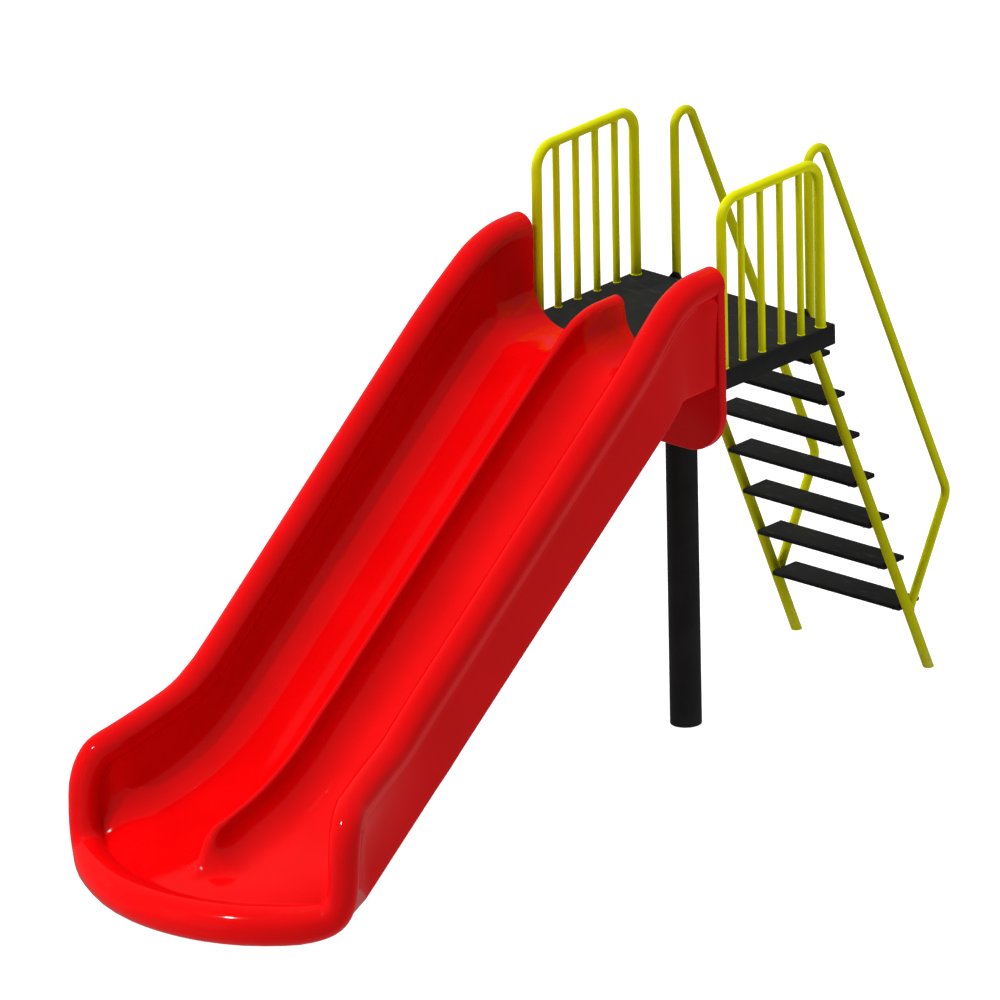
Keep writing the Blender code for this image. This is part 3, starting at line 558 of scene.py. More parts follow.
# the upper wall turns upright where it is this high
WALL_UPRIGHT = (0.245, 0.315)
UPRIGHT_END = -1.2
RIDGE_FALLS_TO = -2.2
NOSE_Y = -2.855
NOSE_CREST = 0.1325
NOSE_ROUND = 0.085
NOSE_FOOT = 0.090
NOSE_STEEP = math.radians(62.0)
BEAD_REACH = 0.054
BEAD_OFFSET = 0.0413
RIM_END = math.radians(-132)
EXIT_WALL_X = 0.552
EXIT_FILLET = 0.060
OUTER_SOFT = 0.014
OUTER_LOW = 0.048
OUTER_HIGH = 0.042
OUTER_TOP = 0.058
OUTER_REAR_X = 0.507
OUTER_WIDENS = (-0.84, -0.70)
LIP_BEAD = 0.075
# The rim round the exit's corner. Each line has the bead's centre and radius, the side that faces
# the riders, and how far the inner sheet ends behind the centre and above it.
EXIT_RIM = [
    ((0.585, -2.849, 0.489), 0.0585, (-1.00, 0.0, 0.00), 0.050, 0.044),
    ((0.605, -2.888, 0.400), 0.0570, (-1.00, 0.0, 0.00), 0.048, 0.045),
    ((0.606, -2.896, 0.290), 0.0565, (-1.00, 0.0, 0.04), 0.047, 0.045),
    ((0.594, -2.902, 0.208), 0.0580, (-0.90, 0.0, 0.43), 0.046, 0.046),
    ((0.560, -2.922, 0.155), 0.0630, (-0.62, 0.0, 0.78), 0.045, 0.051),
    ((0.502, -2.966, 0.133), 0.0700, (-0.22, 0.0, 0.97), 0.046, 0.058),
    ((0.430, -3.013, 0.124), 0.0740, (-0.05, -0.10, 0.99), 0.046, 0.062),
    ((0.300, -3.082, 0.116), LIP_BEAD, (0.0, -0.10, 0.99), 0.046, 0.063),
    ((0.158, -3.126, 0.1115), LIP_BEAD, (0.0, -0.10, 0.99), 0.046, 0.063),
    ((0.000, -3.141, 0.110), LIP_BEAD, (0.0, -0.10, 0.99), 0.046, 0.063),
]


print("columns:", LAST + 1, "points across the rim:", BEND_STEPS + BEAD_STEPS)

# %% [markdown]
# ## The ridge
# A ridge parts the two lanes, so that two children can race without touching. It is a thin wall with
# a round top and a wide fillet on each side, and near the exit it ends in a round nose.

# %% The ridge
def ridge_section(distance, crest, top):
    """Height of the ridge's section at a distance from its spine: a round top on two fillets."""
    dip = FILLET - (crest - top)
    foot = top + FILLET
    touch = top
    if dip > 0:
        foot = math.sqrt((top + FILLET) ** 2 - dip ** 2)
        touch = foot * top / (top + FILLET)
    if distance >= foot:
        return 0.0
    if distance <= touch:
        return crest - top + math.sqrt(max(0.0, top ** 2 - distance ** 2))
    return FILLET - math.sqrt(max(0.0, FILLET ** 2 - (foot - distance) ** 2))


def nose_height(distance, crest):
    """The ridge's top past the start of its round nose."""
    drop = crest - (NOSE_ROUND + NOSE_FOOT) * (1 - math.cos(NOSE_STEEP))
    first = NOSE_ROUND * math.sin(NOSE_STEEP)
    second = first + drop / math.tan(NOSE_STEEP)
    third = second + NOSE_FOOT * math.sin(NOSE_STEEP)
    if distance <= 0:
        return crest
    if distance < first:
        return crest - NOSE_ROUND + math.sqrt(NOSE_ROUND ** 2 - distance ** 2)
    if distance < second:
        return crest - NOSE_ROUND * (1 - math.cos(NOSE_STEEP)) - (distance - first) * math.tan(NOSE_STEEP)
    if distance < third:
        return NOSE_FOOT - math.sqrt(NOSE_FOOT ** 2 - (third - distance) ** 2)
    return 0.0


def ridge_at(y, x):
    """Height of the ridge above the floor, at a distance x from the centre plane."""
    z, fall = floor_at(y)
    if y > RIDGE_FALLS_TO:
        crest = cast(y, z, (-math.sin(fall), math.cos(fall)), crest_z, 0.02, 0.3)
    else:
        crest = nose_height(NOSE_Y - y, NOSE_CREST)
    if crest <= 0.0:
        return 0.0
    thick = between(RIDGE_REAR, RIDGE_THIN, smooth_step(-y, *RIDGE_NARROWS))
    thick += (RIDGE_END - RIDGE_THIN) * smooth_step(-y, *RIDGE_WIDENS)
    return ridge_section(x, crest, min(thick, crest + 0.001))


print("ridge half way down:", round(ridge_at(-1.8, 0.0), 3), "m high")

# %% [markdown]
# ## The cross section
# A cut straight through the chute shows a flat floor, a round fillet and a steep wall under the
# bead. Moulded plastic needs such fillets, because it flows and cools badly in a sharp corner. Each
# column's place in the cut is worked out here, so the inner sheet is a row of such cuts.

# %% The cross section
# a cross section: the floor's middle and its normal, the bead's rise above the floor and distance
# from the centre plane, and where the floor ends and how round its fillet is
Section = namedtuple("Section", "base up bead_rise bead_out edge fillet")


def section_at(y):
    z, fall = floor_at(y)
    up = Vector((0.0, -math.sin(fall), math.cos(fall)))
    look = max(y, EXIT_CORNER_Y)
    look_z, look_fall = floor_at(look)
    way = (-math.sin(look_fall), math.cos(look_fall))
    bead_rise = cast(look, look_z, way, bead_z, 0.1, 0.6)
    bead_out = bead_x(look + bead_rise * way[0])
    share = smooth_step(bead_rise, *WALL_UPRIGHT) if y > UPRIGHT_END else 0.0
    edge = bead_out - FILLET - between(BEAD_OFFSET, BEAD, share)
    fillet = FILLET
    if -y > FILLET_TIGHTENS[0]:
        fillet = between(FILLET, EXIT_FILLET, smooth_step(-y, *FILLET_TIGHTENS))
        edge = between(edge + FILLET, EXIT_WALL_X, smooth_step(-y, *EXIT_WIDENS)) - fillet
    return Section(Vector((0.0, y, z)), up, bead_rise, bead_out, edge, fillet)


def inner_point(column, y):
    """A point of the inner sheet."""
    base, up, bead_rise, _, edge, fillet = section_at(y)
    if column <= FLOOR_LAST:
        x = FLOOR_COLUMNS[min(column, FLOOR_COUNT)]
        if column > FLOOR_COUNT:
            x = between(x, edge, (column - FLOOR_COUNT) / FLOOR_EXTRA)
        return base + X * x + up * ridge_at(y, x)
    if column > FLOOR_LAST + FILLET_STEPS:
        share = (column - FLOOR_LAST - FILLET_STEPS) / WALL_STEPS
        return base + X * (edge + fillet) + up * between(fillet, bead_rise - BEAD_REACH, share)
    angle = math.pi / 2 * (column - FLOOR_LAST) / FILLET_STEPS
    return base + X * (edge + fillet * math.sin(angle)) + up * (fillet * (1 - math.cos(angle)))


def wall_share(column):
    """How far up the wall a column is: 0 at the floor's edge and 1 at the wall's top."""
    if column <= FLOOR_LAST:
        return 0.0
    if column <= FLOOR_LAST + FILLET_STEPS:
        return WALL_START * (column - FLOOR_LAST) / FILLET_STEPS
    return between(WALL_START, 1.0, (column - FLOOR_LAST - FILLET_STEPS) / WALL_STEPS)


print("wall above the floor half way down:", round(section_at(-1.8).bead_rise, 3))

# %% [markdown]
# ## The rim
# The wall's bead is a half tube that riders can grip. At the exit it turns the corner, sinks and
# runs on as the lip, without a seam. One curve through the places in EXIT_RIM carries it, and every
# column of the inner sheet ends on it.

# %% The rim
def rim_share(column):
    """How far along the exit's rim a column ends, in lines of EXIT_RIM."""
    share = wall_share(column)
    if share > WALL_START:
        return 1.5 - 0.7 * (share - WALL_START) / (1 - WALL_START)
    if share > 0:
        return 5.0 - 3.5 * share / WALL_START
    if column > FLOOR_COUNT:
        return 8.0 - (column - FLOOR_COUNT) * 3.0 / FLOOR_EXTRA
    return 9.0 - FLOOR_COLUMNS[column] / FLOOR_COLUMNS[-1]


def curve_value(values, place):
    """A smooth curve through evenly numbered values."""
    i = min(max(int(math.floor(place)), 0), len(values) - 2)
    t = place - i
    b = values[i]
    c = values[i + 1]
    a = values[i - 1] if i > 0 else b * 2 - c
    d = values[i + 2] if i + 2 < len(values) else c * 2 - b
    return (b * 2 + (c - a) * t + (a * 2 - b * 5 + c * 4 - d) * t ** 2
            + (b * 3 - a - c * 3 + d) * t ** 3) * 0.5


# where the rim stands: the inner sheet's end, the ways ahead and to the riders' side, how far the
# bead's centre is from that end along both, the bead's radius and its centre
Station = namedtuple("Station", "base ahead side reach offset bead centre")


def exit_station(place, lead):
    """The rim at a place along EXIT_RIM; lead holds the wall's last two bead centres."""
    centres = list(lead) + [Vector(line[0]) for line in EXIT_RIM]
    for line in (EXIT_RIM[-2], EXIT_RIM[-3]):
        centres.append(Vector((-line[0][0], line[0][1], line[0][2])))
    spot = place + 2
    centre = curve_value(centres, spot)
    along = (curve_value(centres, spot + 0.02) - curve_value(centres, spot - 0.02)).normalized()
    numbers = []
    for pick, wall in ((1, BEAD), (3, BEAD_REACH), (4, BEAD_OFFSET)):
        values = [wall, wall] + [line[pick] for line in EXIT_RIM]
        numbers.append(curve_value(values, min(spot, len(values) - 1)))
    bead, reach, offset = numbers
    sides = [-X] * 2 + [Vector(line[2]) for line in EXIT_RIM]
    side = curve_value(sides, min(spot, len(sides) - 1))
    ahead = side.cross(along).normalized()
    side = along.cross(ahead).normalized()
    if place == len(EXIT_RIM) - 1:
        centre.x = 0.0
        ahead = Vector((0.0, ahead.y, ahead.z)).normalized()
        side = Vector((0.0, side.y, side.z)).normalized()
    return Station(centre - ahead * reach + side * offset, ahead, side, reach, offset, bead, centre)


def rim_strip(station, end):
    """The rim's section: a bend out of the inner sheet, then the bead round to its outer side."""
    base, ahead, side, reach, offset, bead, centre = station
    room = bead - offset
    bend = 50.0 if room < 1e-4 else max(0.0, (reach ** 2 + offset ** 2 - bead ** 2) / (2 * room))
    tilt = math.atan2(reach, bend + offset)
    points = []
    for k in range(1, BEND_STEPS + 1):
        angle = tilt * k / BEND_STEPS
        points.append(base + ahead * bend * math.sin(angle) + side * bend * (1 - math.cos(angle)))
    start = math.pi / 2 + tilt
    for k in range(1, BEAD_STEPS + 1):
        angle = between(start, end, k / BEAD_STEPS)
        points.append(centre + side * bead * math.sin(angle) + ahead * bead * math.cos(angle))
    return points


print("points in a section of the rim:", BEND_STEPS + BEAD_STEPS)

# %% [markdown]
# ## The outer sheet
# The outer sheet is what the photograph shows of the chute from the side: a plain wall that leans a
# little, a small round at its foot and the flat underside. It ends just behind the rim's bead.

# %% The outer sheet
def outer_point(column, y):
    """A point of the outer sheet away from the exit."""
    base, up, bead_rise, bead_out, _, _ = section_at(y)
    drop = -cast(y, base.z, (-up.y, -up.z), under_z, 0.0, 0.6)
    wall_low = bead_out + OUTER_LOW if y > RUNOUT_START_Y else OUTER_X
    wall_high = between(bead_out + OUTER_HIGH, OUTER_REAR_X, smooth_step(y, *OUTER_WIDENS))
    if column <= UNDER_LAST:
        return base + X * ((wall_low - OUTER_SOFT) * column / UNDER_LAST) + up * drop
    k = (column - UNDER_LAST) / 2
    if k <= 3:
        angle = math.radians(30 * k)
        return (base + X * (wall_low - OUTER_SOFT * (1 - math.sin(angle)))
                + up * (drop + OUTER_SOFT * (1 - math.cos(angle))))
    share = (k - 3) / 4
    return (base + X * between(wall_low, wall_high, share ** 2)
            + up * between(drop + OUTER_SOFT, bead_rise - OUTER_TOP, share))


def outer_front(column, station):
    """The outer sheet's front edge, just behind the rim's bead."""
    centre, bead = station.centre, station.bead
    if column <= FLOOR_LAST:
        return Vector((centre.x, centre.y + 0.004, centre.z - bead + 0.003))
    t = wall_share(column)
    return Vector((centre.x + bead * (0.30 + 0.30 * t), centre.y + bead * (0.50 + 0.30 * t),
                   centre.z - bead * 0.88 * (1 - t)))


print("outer wall half way down:", round(outer_point(LAST, -1.8).x, 3), "m from the middle")

# %% [markdown]
# ## Rows of the chute
# The rows run across the chute. They lie close together where the floor bends. Past the last
# straight row they fan out to the curved lip, which keeps the shading smooth round the corner.

# %% Rows of the chute
def chute_rows():
    """Places along the slide of the straight rows: close together where the floor bends."""
    ys = [CHUTE_REAR_Y - 0.02 * k for k in range(9)]
    start = FLOOR_LINE[0] + FLOOR_REACH
    for k in range(15):
        ys.append(start - FLOOR_ROUND * math.sin(CHUTE_ANGLE * k / 14))
    ys += [-1.00, -1.03, -1.06, -1.10, -1.15, -1.20, -1.30, -1.45, -1.60, -1.75, -1.95, -2.15, -2.23]
    ys.append(RUNOUT_START_Y)
    for k in range(1, 13):
        angle = between(CHUTE_ANGLE, math.radians(15.0), k / 12)
        ys.append(RUNOUT_CENTRE[0] + RUNOUT_ROUND * math.sin(angle))
    return ys


def chute_sheets():
    """Rows of the inner and the outer sheet, and the rim's sections."""
    ys = chute_rows()
    last_y = ys[-1]
    columns = range(LAST + 1)
    inner = [[inner_point(j, y) for j in columns] for y in ys]
    outer = [[outer_point(j, y) for j in columns] for y in ys]
    straight = []
    for y in ys:
        section = section_at(y)
        base = inner_point(LAST, y)
        offset = section.bead_out - base.x
        straight.append(Station(base, section.up, -X, BEAD_REACH, offset, BEAD,
                                base + section.up * BEAD_REACH + X * offset))
    # two bead centres of the straight rows carry the curve into the corner
    lead = [straight[-3].centre, straight[-1].centre]
    fronts = [exit_station(rim_share(j), lead) for j in columns]
    sides = [exit_station(between(-1.0, rim_share(LAST), k / EXIT_STEPS), lead) for k in range(1, EXIT_STEPS)]
    ends = []
    for j in columns:
        y = fronts[j].base.y
        for _ in range(8):
            y += fronts[j].base.y - inner_point(j, y).y
        ends.append(y)
    gaps = [fronts[j].base - inner_point(j, ends[j]) for j in columns]
    last_outer = outer[-1]
    for k in range(1, EXIT_STEPS + 1):
        share = k / EXIT_STEPS
        row = [inner_point(j, between(last_y, ends[j], share)) + gaps[j] * share ** 2 for j in columns]
        if k < EXIT_STEPS:
            shift = sides[k - 1].base - row[LAST]
            row = [spot + shift * wall_share(j) ** 2 for j, spot in enumerate(row)]
        inner.append(row)
        outer.append([last_outer[j].lerp(outer_front(j, fronts[j]), share) for j in columns])
    rim = [rim_strip(station, RIM_END) for station in straight + sides]
    rim += [rim_strip(fronts[j], math.radians(-90 - 42 * wall_share(j))) for j in reversed(columns)]
    return inner, outer, rim


SHEETS = chute_sheets()
print("rows:", len(SHEETS[0]), "sections of the rim:", len(SHEETS[2]))

# %% [markdown]
# ## The chute
# A mould for this shape is a steel box in two halves. Powder melts on its hot walls, and the wall
# grows to about eight millimetres everywhere. So inside and outside follow each other, and every
# edge is round. The skin here is closed in the same way: inner sheet, rim and outer sheet.

# %% The chute
def make_chute(inner, outer, rim):
    """Join the sheets and the rim, on both sides of the centre plane, into one closed skin."""
    rows = len(inner)
    width = len(rim[0])
    shape = Shape()
    index = {}

    def keep(key, spot, side):
        index[key] = len(shape.points)
        shape.points.append(Vector((spot.x * side, spot.y, spot.z)))

    for side in (1, -1):
        for i in range(rows):
            for j in range(LAST + 1):
                keep(("in", side, i, j), inner[i][j], side)
                keep(("out", side, i, j), outer[i][j], side)
        for r, points in enumerate(rim):
            for k, spot in enumerate(points):
                keep(("rim", side, r, k), spot, side)
        for i in range(rows - 1):
            for j in range(LAST):
                for sheet in ("in", "out"):
                    shape.faces.append((index[sheet, side, i, j], index[sheet, side, i, j + 1],
                                        index[sheet, side, i + 1, j + 1], index[sheet, side, i + 1, j]))
        edge = [(i, LAST) for i in range(rows - 1)] + [(rows - 1, j) for j in range(LAST, -1, -1)]
        lines = []
        for r, (i, j) in enumerate(edge):
            line = [index["in", side, i, j]] + [index["rim", side, r, k] for k in range(width)]
            lines.append(line + [index["out", side, i, j]])
        for one, two in zip(lines, lines[1:]):
            for k in range(width + 1):
                loop = list(dict.fromkeys((one[k], one[k + 1], two[k + 1], two[k])))
                if len(loop) > 2:
                    shape.faces.append(tuple(loop))
    right = [index["in", 1, 0, j] for j in range(LAST + 1)]
    right += [index["rim", 1, 0, k] for k in range(width)]
    right += [index["out", 1, 0, j] for j in range(LAST, -1, -1)]
    left = [index["out", -1, 0, j] for j in range(1, LAST + 1)]
    left += [index["rim", -1, 0, k] for k in range(width - 1, -1, -1)]
    left += [index["in", -1, 0, j] for j in range(LAST, 0, -1)]
    shape.faces.append(tuple(right + left))
    # a fine round line bulges a hair past the chords of the solid, so the skin is drawn in by it
    low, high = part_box("chute")
    fits = []
    for axis, (a, b) in enumerate(((low.x, high.x), (low.y - REAR, high.y - REAR))):
        fits.append(min(1.0, max(abs(a), abs(b)) / max(abs(p[axis]) for p in shape.points)))
    for p in shape.points:
        p.x *= fits[0]
        p.y *= fits[1]
    print("drawn in by", [round(1 - f, 5) for f in fits])
    return shape


CHUTE = make_chute(*SHEETS).finish("chute_skin", RED, 42, ("chute",))
print("chute:", len(CHUTE.data.vertices), "points")

# %% [markdown]
# ## Plates with round edges
# A plate is cut to an outline, and its sharp edges are then ground round. Here the outline is
# lofted through a few levels, and drawn in a little at the first and the last ones.

# %% Plates with round edges
def edge_lines(low, high, edge):
    """Insets and levels of the lines round a plate's edge, which is rounded above and below."""
    lines = [(edge + 0.0008, low)]
    for k in range(4):
        a = math.radians(30 * k)
        lines.append((edge * (1 - math.sin(a)), low + edge * (1 - math.cos(a))))
    return lines + [(inset, low + high - level) for inset, level in lines[::-1]]


def drawn_in(outline, inset):
    """A closed outline of (p, q) points moved inward; it runs against the clock or with it."""
    count = len(outline)
    area = sum(outline[i - 1][0] * outline[i][1] - outline[i][0] * outline[i - 1][1] for i in range(count))
    way = 1 if area > 0 else -1
    moved = []
    for i in range(count):
        here = Vector(outline[i])
        come = (here - Vector(outline[i - 1])).normalized()
        leave = (Vector(outline[(i + 1) % count]) - here).normalized()
        first = Vector((-come.y, come.x)) * way
        second = Vector((-leave.y, leave.x)) * way
        middle = (first + second).normalized()
        moved.append(here + middle * (inset / max(0.3, middle.dot(first))))
    return moved


def cut_plate(outline, axis, low, high, edge):
    """A plate cut to an outline and lying across an axis, with its edges rounded."""
    loops = []
    for inset, level in edge_lines(low, high, edge):
        loop = []
        for p, q in drawn_in(outline, inset):
            loop.append(Vector({"x": (level, p, q), "y": (p, level, q)}[axis]))
        loops.append(loop)
    return Shape().loft(loops)


print("lines round a plate's edge:", len(edge_lines(0.0, 1.0, 0.1)))

# %% [markdown]
# ## The chute's flange
# A flat flange is moulded round the upper end of the chute. The deck's front edge carries it, and
# bolts clamp it there. Its lower corners are round so that nothing catches below the deck.

# %% The chute's flange
def make_flange():
    half = 0.510
    low = 1.229
    corner = 0.160
    arm = 0.050
    outline = []
    for k in range(19):
        turn = math.radians(270 + 5 * k)
        outline.append((half - corner + corner * math.cos(turn), low + corner + corner * math.sin(turn)))
    outline += [(half, 1.870), (half - arm, 1.870), (half - arm, 1.520)]
    outline += [(-x, z) for x, z in outline[::-1]]
    return cut_plate(outline, "y", CHUTE_REAR_Y - 0.040, CHUTE_REAR_Y, 0.006)


make_flange().finish("chute_flange", RED, 50)

# %% [markdown]
# ## The deck
# The deck is a pan of folded steel plate. Its four lips turn down 75 mm, so the pan is stiff and
# bolts can pass through them. The folds are round, and the whole pan is dipped in black plastisol.
# The pan is open below, so its inner faces are drawn too.

# %% The deck
def rounded_outline(x0, y0, x1, y1, radius, inset, steps=5):
    """A rectangle with round corners, drawn in by an inset."""
    r = max(0.0005, radius - inset)
    loop = []
    for cx, cy, first in ((x1 - inset - r, y1 - inset - r, 0), (x0 + inset + r, y1 - inset - r, 90),
                          (x0 + inset + r, y0 + inset + r, 180), (x1 - inset - r, y0 + inset + r, 270)):
        for k in range(steps + 1):
            a = math.radians(first + 90 * k / steps)
            loop.append((cx + r * math.cos(a), cy + r * math.sin(a)))
    return loop


def make_deck():
    """The pan's section, from its inner face round the lip's foot and over the fold to its top."""
    low = DECK_TOP - DECK_LIP
    fold = 0.007
    loops = []

    def add(inset, level):
        outline = rounded_outline(-DECK_HALF, -DECK_DEPTH, DECK_HALF, 0.0, 0.010, inset, 6)
        loops.append([Vector((p, q, level)) for p, q in outline])

    add(SHEET + 0.004, DECK_TOP - SHEET)
    add(SHEET + 0.002, DECK_TOP - SHEET)
    add(SHEET, DECK_TOP - SHEET - 0.002)
    add(SHEET, low + 0.001)
    add(SHEET - 0.001, low)
    add(0.001, low)
    add(0.0, low + 0.001)
    for k in range(7):
        a = math.radians(15 * k)
        add(fold * (1 - math.cos(a)), DECK_TOP - fold * (1 - math.sin(a)))
    add(fold + 0.001, DECK_TOP)
    return Shape().loft(loops)


make_deck().finish("deck_skin", DIPPED, 50, ("deck_pan",))

# %% [markdown]
# ## Bearers, top plate and post
# Two bearers of box section run across below the deck. A square plate is bolted up to them, and one
# thick post carries the tower. The post is welded to the plate all round. Here the weld is a bead
# with ripples, because a hand weld is a row of small pools.

# %% Bearers, top plate and post
BEARER_TOP = DECK_TOP - SHEET - GAP
BEARER_HIGH = 0.069
BEARER_HALF = 0.025
BEARER_SPREAD = 0.085
BEARER_REACH = DECK_HALF - SHEET - GAP
PLATE_HALF = 0.13
PLATE_THICK = 0.010
PLATE_TOP = BEARER_TOP - BEARER_HIGH - GAP
POST_TOP = PLATE_TOP - PLATE_THICK - GAP
POST_BEAD = 0.0042
# height and inset of each line round the post, and depth and inset of those round a bearer's end
POST_LINES = ((0.0, 0.0035), (0.0, 0.0025), (0.0007, 0.0007), (0.0025, 0.0), (POST_TOP, 0.0))
BEARER_ENDS = ((0.001, 0.006), (0.0, 0.005), (0.0, 0.001), (0.001, 0.0))


def slab(shape, x0, y0, x1, y1, low, high, corner, edge):
    """A level plate with round corners in plan and round edges."""
    loops = []
    for inset, level in edge_lines(low, high, edge):
        loops.append([Vector((p, q, level)) for p, q in rounded_outline(x0, y0, x1, y1, corner, inset)])
    return shape.loft(loops)


def bar(ends, half, y0, z0, y1, z1, corner, steps=5):
    """A bar that lies across; ends has the depth and the inset of each line round an end."""
    lines = [(-half + depth, inset) for depth, inset in ends]
    lines += [(-x, inset) for x, inset in lines[::-1]]
    return Shape().loft([[Vector((x, p, q)) for p, q in rounded_outline(y0, z0, y1, z1, corner, inset, steps)]
                         for x, inset in lines])


def round_weld(shape, centre, radius, bead, up, count=200, pitch=WELD_PITCH):
    """A weld round a level circle; up is 1 on top of a plate and -1 below one."""
    turns = [2 * math.pi * k / count for k in range(count)]
    loop = [centre + Vector((math.cos(a), math.sin(a), 0)) * radius for a in turns]
    shape.weld(loop, [Vector((math.cos(a), math.sin(a), up)) for a in turns], bead, pitch)


for name, y in (("bearer_front", POST_Y - BEARER_SPREAD), ("bearer_rear", POST_Y + BEARER_SPREAD)):
    bearer = bar(BEARER_ENDS, BEARER_REACH, y - BEARER_HALF, BEARER_TOP - BEARER_HIGH,
                 y + BEARER_HALF, BEARER_TOP, 0.008)
    bearer.finish(name + "_skin", PAINTED, 50, (name,))
top_plate = slab(Shape(), -PLATE_HALF, POST_Y - PLATE_HALF, PLATE_HALF, POST_Y + PLATE_HALF,
                 PLATE_TOP - PLATE_THICK, PLATE_TOP, 0.014, 0.0012)
top_plate.finish("post_top_plate_skin", PAINTED, 50, ("post_top_plate",))
post = Shape().loft([circle(Y * POST_Y + Z * z, X, Y, POST_RADIUS - r, 96) for z, r in POST_LINES])
post.finish("support_post_skin", PAINTED, 50, ("support_post",))
post_weld = Shape()
round_weld(post_weld, Vector((0, POST_Y, POST_TOP - 0.0008)), POST_RADIUS, POST_BEAD, -1, 560, 0.0034)
post_weld.finish("post_weld", PAINTED, 60)

# %% [markdown]
# ## Tubes and saddles
# A bender pulls a straight tube round a die, so every bend is an arc. A path through the corners,
# with an arc at each, is the tube's middle line. Where a tube ends on the side of another it is cut
# to a saddle, and the weld follows that curve.

# %% Tubes and saddles
ARC_STEP = 4.0
SADDLE_POINTS = 180


def rounded_path(corners, radius):
    """Points of a path through (y, z) corners, with an arc at each inner corner."""
    points = [Vector(corners[0])]
    for before, corner, after in zip(corners, corners[1:], corners[2:]):
        here = Vector(corner)
        come = (here - Vector(before)).normalized()
        leave = (Vector(after) - here).normalized()
        turn = come.angle(leave)
        side = (leave - come * come.dot(leave)).normalized()
        centre = here - come * (radius * math.tan(turn / 2)) + side * radius
        count = max(3, math.ceil(math.degrees(turn) / ARC_STEP))
        for k in range(count + 1):
            a = turn * k / count
            points.append(centre + (come * math.sin(a) - side * math.cos(a)) * radius)
    return points + [Vector(corners[-1])]


def tube(path, radius, sides, lip=0.0012):
    """A tube along points in space, with its cut ends broken by a small round."""
    stations = []
    across = X
    for i, p in enumerate(path):
        back = p - path[max(0, i - 1)]
        ahead = path[min(len(path) - 1, i + 1)] - p
        along = (back.normalized() + ahead.normalized()).normalized()
        across = (across - along * across.dot(along)).normalized()
        stretch = 1.0
        if 0 < i < len(path) - 1:
            stretch = 1.0 / max(0.3, along.dot(ahead.normalized()))
        stations.append((p, across, along.cross(across) * stretch, along))

    def cut_end(station, way):
        p, a, u, along = station
        return [circle(p, a, u, radius - lip, sides, 0.5),
                circle(p + along * (way * lip), a, u, radius, sides, 0.5)]

    rings = [circle(p, a, u, radius, sides, 0.5) for p, a, u, along in stations[1:-1]]
    return Shape().loft(cut_end(stations[0], 1) + rings + cut_end(stations[-1], -1)[::-1])


def saddle(centre, way, radius, axis_point, axis_way, other):
    """Where a round tube meets the side of another: points of the joint and their outward sides."""
    way = way.normalized()
    axis_way = axis_way.normalized()
    across = axis_way.cross(way).normalized()
    upright = way.cross(across)
    loop = []
    outward = []
    for k in range(SADDLE_POINTS):
        a = 2 * math.pi * k / SADDLE_POINTS
        spoke = across * math.cos(a) + upright * math.sin(a)
        start = centre + spoke * radius
        gap = start - axis_point
        u = gap - axis_way * gap.dot(axis_way)
        v = way - axis_way * way.dot(axis_way)
        half = u.dot(v)
        inside = half * half - v.dot(v) * (u.dot(u) - other * other)
        reach = (-half - math.sqrt(max(0.0, inside))) / v.dot(v)
        spot = start + way * reach
        loop.append(spot)
        flat = spot - axis_point
        flat = (flat - axis_way * flat.dot(axis_way)).normalized()
        outward.append(spoke + flat)
    return loop, outward


print("points round a saddle:", SADDLE_POINTS)

# %% [markdown]
# ## The guards
# Each side has a guard frame, bent in one piece from 38 mm tube, with four balusters of 26 mm tube
# between the deck and the top rail. Every foot is welded to the deck, and each baluster's top is
# hollowed to fit the round rail and welded all round.

# %% The guards
BALUSTERS = 4
BALUSTER_PITCH = (GUARD_REAR_Y - GUARD_FRONT_Y) / (BALUSTERS + 1)
GUARD_BEND = 0.080
FOOT_Z = DECK_TOP + GAP
FOOT_WELD_Z = DECK_TOP + 0.0006
FOOT_BEAD = 0.0016
BALUSTER_BEAD = 0.0014
SADDLE_BEAD = 0.0024


def baluster(x, y):
    """A thin tube that stands on the deck, its top hollowed to fit the rail above it."""
    rings = [circle(Vector((x, y, FOOT_Z + z)), X, Y, BALUSTER_RADIUS - r, 36)
             for z, r in ((0.0, 0.0012), (0.0012, 0.0))]
    top = circle(Vector((x, y, GUARD_RAIL_Z)), X, Y, BALUSTER_RADIUS, 36)
    for p in top:
        p.z -= math.sqrt((GUARD_RADIUS + GAP) ** 2 - (p.x - x) ** 2)
    return Shape().loft(rings + [top], True, False)


guard_welds = Shape()
for side, sign in SIDES:
    x = sign * GUARD_X
    corners = [(GUARD_REAR_Y, FOOT_Z), (GUARD_REAR_Y, GUARD_RAIL_Z),
               (GUARD_FRONT_Y, GUARD_RAIL_Z), (GUARD_FRONT_Y, FOOT_Z)]
    guard = tube([Vector((x, *p)) for p in rounded_path(corners, GUARD_BEND)], GUARD_RADIUS * WITHIN, 44)
    guard.finish("guard_skin_" + side, YELLOW, 50, ("guard_frame_" + side,))
    for y in (GUARD_REAR_Y, GUARD_FRONT_Y):
        round_weld(guard_welds, Vector((x, y, FOOT_WELD_Z)), GUARD_RADIUS, FOOT_BEAD, 1)
    for k in range(BALUSTERS):
        y = GUARD_REAR_Y - BALUSTER_PITCH * (k + 1)
        loop, outward = saddle(Vector((x, y, 1.9)), Z, BALUSTER_RADIUS, Vector((x, y, GUARD_RAIL_Z)), Y,
                               GUARD_RADIUS)
        guard_welds.weld([p - Z * 0.0006 for p in loop],
                         [Vector((o.x, o.y, min(o.z, -0.2))) for o in outward], SADDLE_BEAD)
        round_weld(guard_welds, Vector((x, y, FOOT_WELD_Z)), BALUSTER_RADIUS, BALUSTER_BEAD, 1)
        name = "%s_%d" % (side, k + 1)
        baluster(x, y).finish("baluster_skin_" + name, YELLOW, 50, ("baluster_" + name,))
guard_welds.finish("guard_welds", YELLOW, 60)

